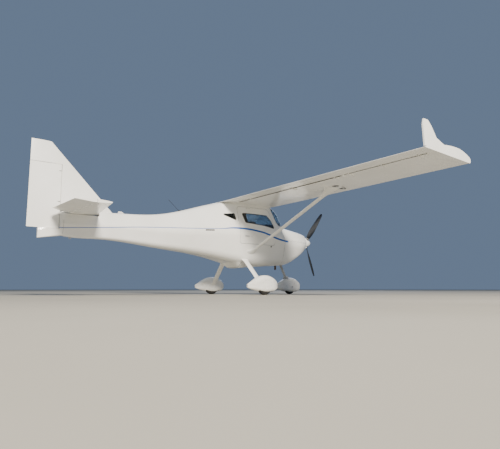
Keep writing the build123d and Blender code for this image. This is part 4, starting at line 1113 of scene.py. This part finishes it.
for side, sign in sides:
    middle = sign * seat["across"]
    edge = seat["half"] - 0.012
    bm = bmesh.new()
    addSlab(bm, seat["shell"], middle, seat["half"] + 0.004, 0.005)
    piece = addPiece("seat_shell_" + side, bm, grainedPlastic)
    if side == "left":
        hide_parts("seats")
    pads = {}
    for part, restWay in (("base", Vector((0, -0.15, -0.99))), ("back", -backWay)):
        bm = stuffPad(seat[part], middle, edge, restWay, seat[part + "Channels"])
        pads[part] = BVHTree.FromBMesh(bm)
        piece = addPiece(f"seat_{part}_cushion_{side}", bm, upholstery, sharpAngle=80)
        finer = piece.modifiers.new("finer", "SUBSURF")
        finer.levels = finer.render_levels = 1
    bm = bmesh.new()
    corners = rectangle((middle - edge, 2.10), (middle + edge, 2.415))
    layBand(bm, pads["base"], onBase(roundOutline(corners, 0.03, 0.015)), 0.008, 0.0045, True, weltProfile)
    corners = rectangle((middle - edge, 0.05), (middle + edge, 0.95))
    layBand(bm, pads["back"], onBack(roundOutline(corners, 0.04, 0.015)), 0.008, 0.0045, True, weltProfile)
    addPiece("seat_piping_" + side, bm, beltWebbing)
    bm = bmesh.new()
    for hand in (-1, 1):
        shoulder = divide([(middle + hand * 0.075, 0.985), (middle + hand * 0.035, 0.04)], 0.02)
        lap = divide([(middle + hand * 0.15, 2.405), (middle + hand * 0.02, 2.345)], 0.015)
        layBand(bm, pads["back"], onBack(shoulder), *seat["strap"], profile=strapProfile)
        layBand(bm, pads["base"], onBase(lap), *seat["strap"], profile=strapProfile)
    addPiece("harness_" + side, bm, beltWebbing)
    bm = bmesh.new()
    addBlock(bm, (-0.03, -0.028, 0.001), (0.03, 0.028, 0.016), 0.005, 3)
    turn(bm, [(0, 0.021), (0.012, 0.021), (0.016, 0.019), (0.017, 0.014)], Vector((0, 0, 0)), upward, 20)
    stand = standOn(*land(pads["base"], onBase([(middle, 2.345)])))
    bmesh.ops.transform(bm, matrix=stand, verts=bm.verts)
    addPiece("harness_buckle_" + side, bm, zincSteel)
print("seats made")

# Instrument panel: displays, dials with ticks and needles, switches, throttle; stick grips; pedals

panel = {"face": 1.5602, "displays": ((-0.2, 0.105), (0.17, 0.105)), "displayHalf": (0.105, 0.07),
         "dials": ((-0.015, 0.155), (-0.015, 0.075), (0.33, 0.13), (-0.35, 0.13)), "dialRadius": 0.029,
         "switches": (-0.3, 12, 0.034, 0.0), "throttleHeight": -0.015}
bezels, glass, marks = bmesh.new(), bmesh.new(), bmesh.new()
faceY = datum["noseY"] + panel["face"]
for across, height in panel["displays"]:
    halfWide, halfHigh = panel["displayHalf"]
    low = at(across - halfWide, panel["face"], height - halfHigh)
    high = at(across + halfWide, 0, height + halfHigh)
    high.y = faceY + 0.012
    addBlock(bezels, low, high, 0.005, 3)
    inset = Vector((0.014, 0, 0.014))
    low, high = low + inset, high - inset
    low.y, high.y = faceY + 0.004, faceY + 0.0128
    addBlock(glass, low, high, 0.0008, 1)
for across, height in panel["dials"]:
    radius, spot = panel["dialRadius"], at(across, panel["face"], height)
    turn(bezels, [(0, 0.001), (radius, 0.001), (radius * 1.02, 0.007), (radius * 1.12, 0.0085),
                  (radius * 1.2, 0.006), (radius * 1.22, 0.0)], spot, aftward, 32)
    for index in range(12):
        spin = math.tau * index / 12
        out = Vector((math.cos(spin), 0, math.sin(spin)))
        tick = bmesh.ops.create_cube(marks, size=1)["verts"]
        bmesh.ops.transform(marks, matrix=Matrix.Translation(spot + out * radius * 0.82 + Vector((0, 0.0016, 0)))
                            @ Matrix.Rotation(-spin, 4, "Y") @ Matrix.Diagonal((0.006, 0.0006, 0.0014, 1)), verts=tick)
    needle = bmesh.ops.create_cube(marks, size=1)["verts"]
    bmesh.ops.transform(marks, matrix=Matrix.Translation(spot + Vector((0, 0.003, 0)))
                        @ Matrix.Rotation(0.7 + across * 4, 4, "Y") @ Matrix.Translation((0.008, 0, 0))
                        @ Matrix.Diagonal((0.024, 0.0006, 0.0018, 1)), verts=needle)
first, count, step, height = panel["switches"]
for index in range(count):
    across = first + index * step
    if abs(across) > 0.04:
        spot = at(across, panel["face"], height)
        turn(bezels, [(0, 0.003), (0.006, 0.003), (0.0075, 0.0)], spot, aftward, 12)
        addBlock(marks, at(across - 0.0022, panel["face"] + 0.003, height - 0.002),
                 at(across + 0.0022, panel["face"] + 0.015, height + 0.003), 0.001, 1)
height = panel["throttleHeight"]
addRod(marks, [at(0, panel["face"], height), at(0, panel["face"] + 0.05, height)], 0.004, 12)
turn(bezels, [(0, 0.026), (0.012, 0.024), (0.017, 0.016), (0.016, 0.004), (0.008, 0.0), (0, 0)],
     at(0, panel["face"] + 0.045, height), aftward, 24)
addPiece("panel_bezels", bezels, grainedPlastic)
addPiece("panel_displays", glass, displayGlass)
addPiece("panel_marks", marks, printedWhite)

controls = {"gripTop": (1.80, -0.08), "gripFoot": (1.829, -0.45), "pedals": (1.42, -0.34)}
bm = bmesh.new()
pedals = bmesh.new()
for side, sign in sides:
    across = sign * seat["across"]
    top, foot = at(across, *controls["gripTop"]), at(across, *controls["gripFoot"])
    turn(bm, [(0, 0.014), (0.010, 0.0135), (0.0165, 0.008), (0.018, 0.0), (0.0165, -0.02), (0.0185, -0.035),
              (0.0165, -0.05), (0.0185, -0.065), (0.0165, -0.08), (0.018, -0.1), (0.0145, -0.11), (0.0113, -0.11)],
         top, (top - foot).normalized(), 24)
    for hand in (-1, 1):
        middle = across + hand * 0.085
        station, height = controls["pedals"]
        addBlock(pedals, at(middle - 0.038, station, height - 0.03),
                 at(middle + 0.038, station + 0.012, height + 0.035), 0.004)
        addRod(pedals, [at(middle, station + 0.004, height - 0.02), at(middle, station - 0.015, -0.40),
                        at(middle, station - 0.02, -0.4575)], 0.007, 10)
addPiece("stick_grips", bm, vulcanisedRubber)
addPiece("rudder_pedals", pedals, greyPowderCoat)
print("cabin made")

# Floor, lights and camera

stage = {"floorSize": 160.0, "floorColour": "#ADA89B", "floorShade": "#A39E91", "patchMm": 2500,
         "skyColour": "#A6C0E6", "skyPower": 0.36}


def makeFloor():
    bm = bmesh.new()
    bmesh.ops.create_grid(bm, x_segments=1, y_segments=1, size=stage["floorSize"] / 2)
    material, tree, shader, place = newMaterial("paleFloor", {"Roughness": 0.85})
    colour = addPatches(tree, place, stage["floorColour"], stage["floorShade"], stage["patchMm"])
    tree.links.new(colour, shader.inputs["Base Color"])
    addObject("floor", bm, material)


makeFloor()
world = bpy.data.worlds.new("studio")
bpy.context.scene.world = world
world.use_nodes = True
sky = world.node_tree.nodes["Background"].inputs
sky["Color"].default_value = linear(stage["skyColour"])
sky["Strength"].default_value = stage["skyPower"]

lights = {
    # name: place, aim, size, power, colour
    "keySoftbox": ((-25.0, 8.0, 15.0), (0, 0, 1.0), 6.0, 18000.0, "#FFF6E8"),
    "fillSoftbox": ((18.0, -20.0, 12.0), (0, 0, 1.0), 14.0, 1700.0, "#DCE8FF"),
    "rimSoftbox": ((8.0, 22.0, 16.0), (0, 0, 1.2), 12.0, 2000.0, "#FFFFFF"),
}
for name, (place, aim, size, power, colour) in lights.items():
    data = bpy.data.lights.new(name, "AREA")
    data.size = size
    data.energy = power
    data.color = linear(colour)[:3]
    lamp = bpy.data.objects.new(name, data)
    lamp.location = place
    lamp.rotation_euler = (Vector(aim) - Vector(place)).to_track_quat("-Z", "Y").to_euler()
    bpy.context.scene.collection.objects.link(lamp)

view = {"azimuth": 236.9, "distance": 9.6, "height": 0.12, "aim": (-0.90, -0.62, 1.40), "lens": 33.5}
angle = math.radians(view["azimuth"])
camera = bpy.data.objects.new("camera", bpy.data.cameras.new("camera"))
camera.data.lens = view["lens"]
camera.location = (math.sin(angle) * view["distance"], -math.cos(angle) * view["distance"], view["height"])
camera.rotation_euler = (Vector(view["aim"]) - camera.location).to_track_quat("-Z", "Y").to_euler()
bpy.context.scene.collection.objects.link(camera)
bpy.context.scene.camera = camera
print("stage set")
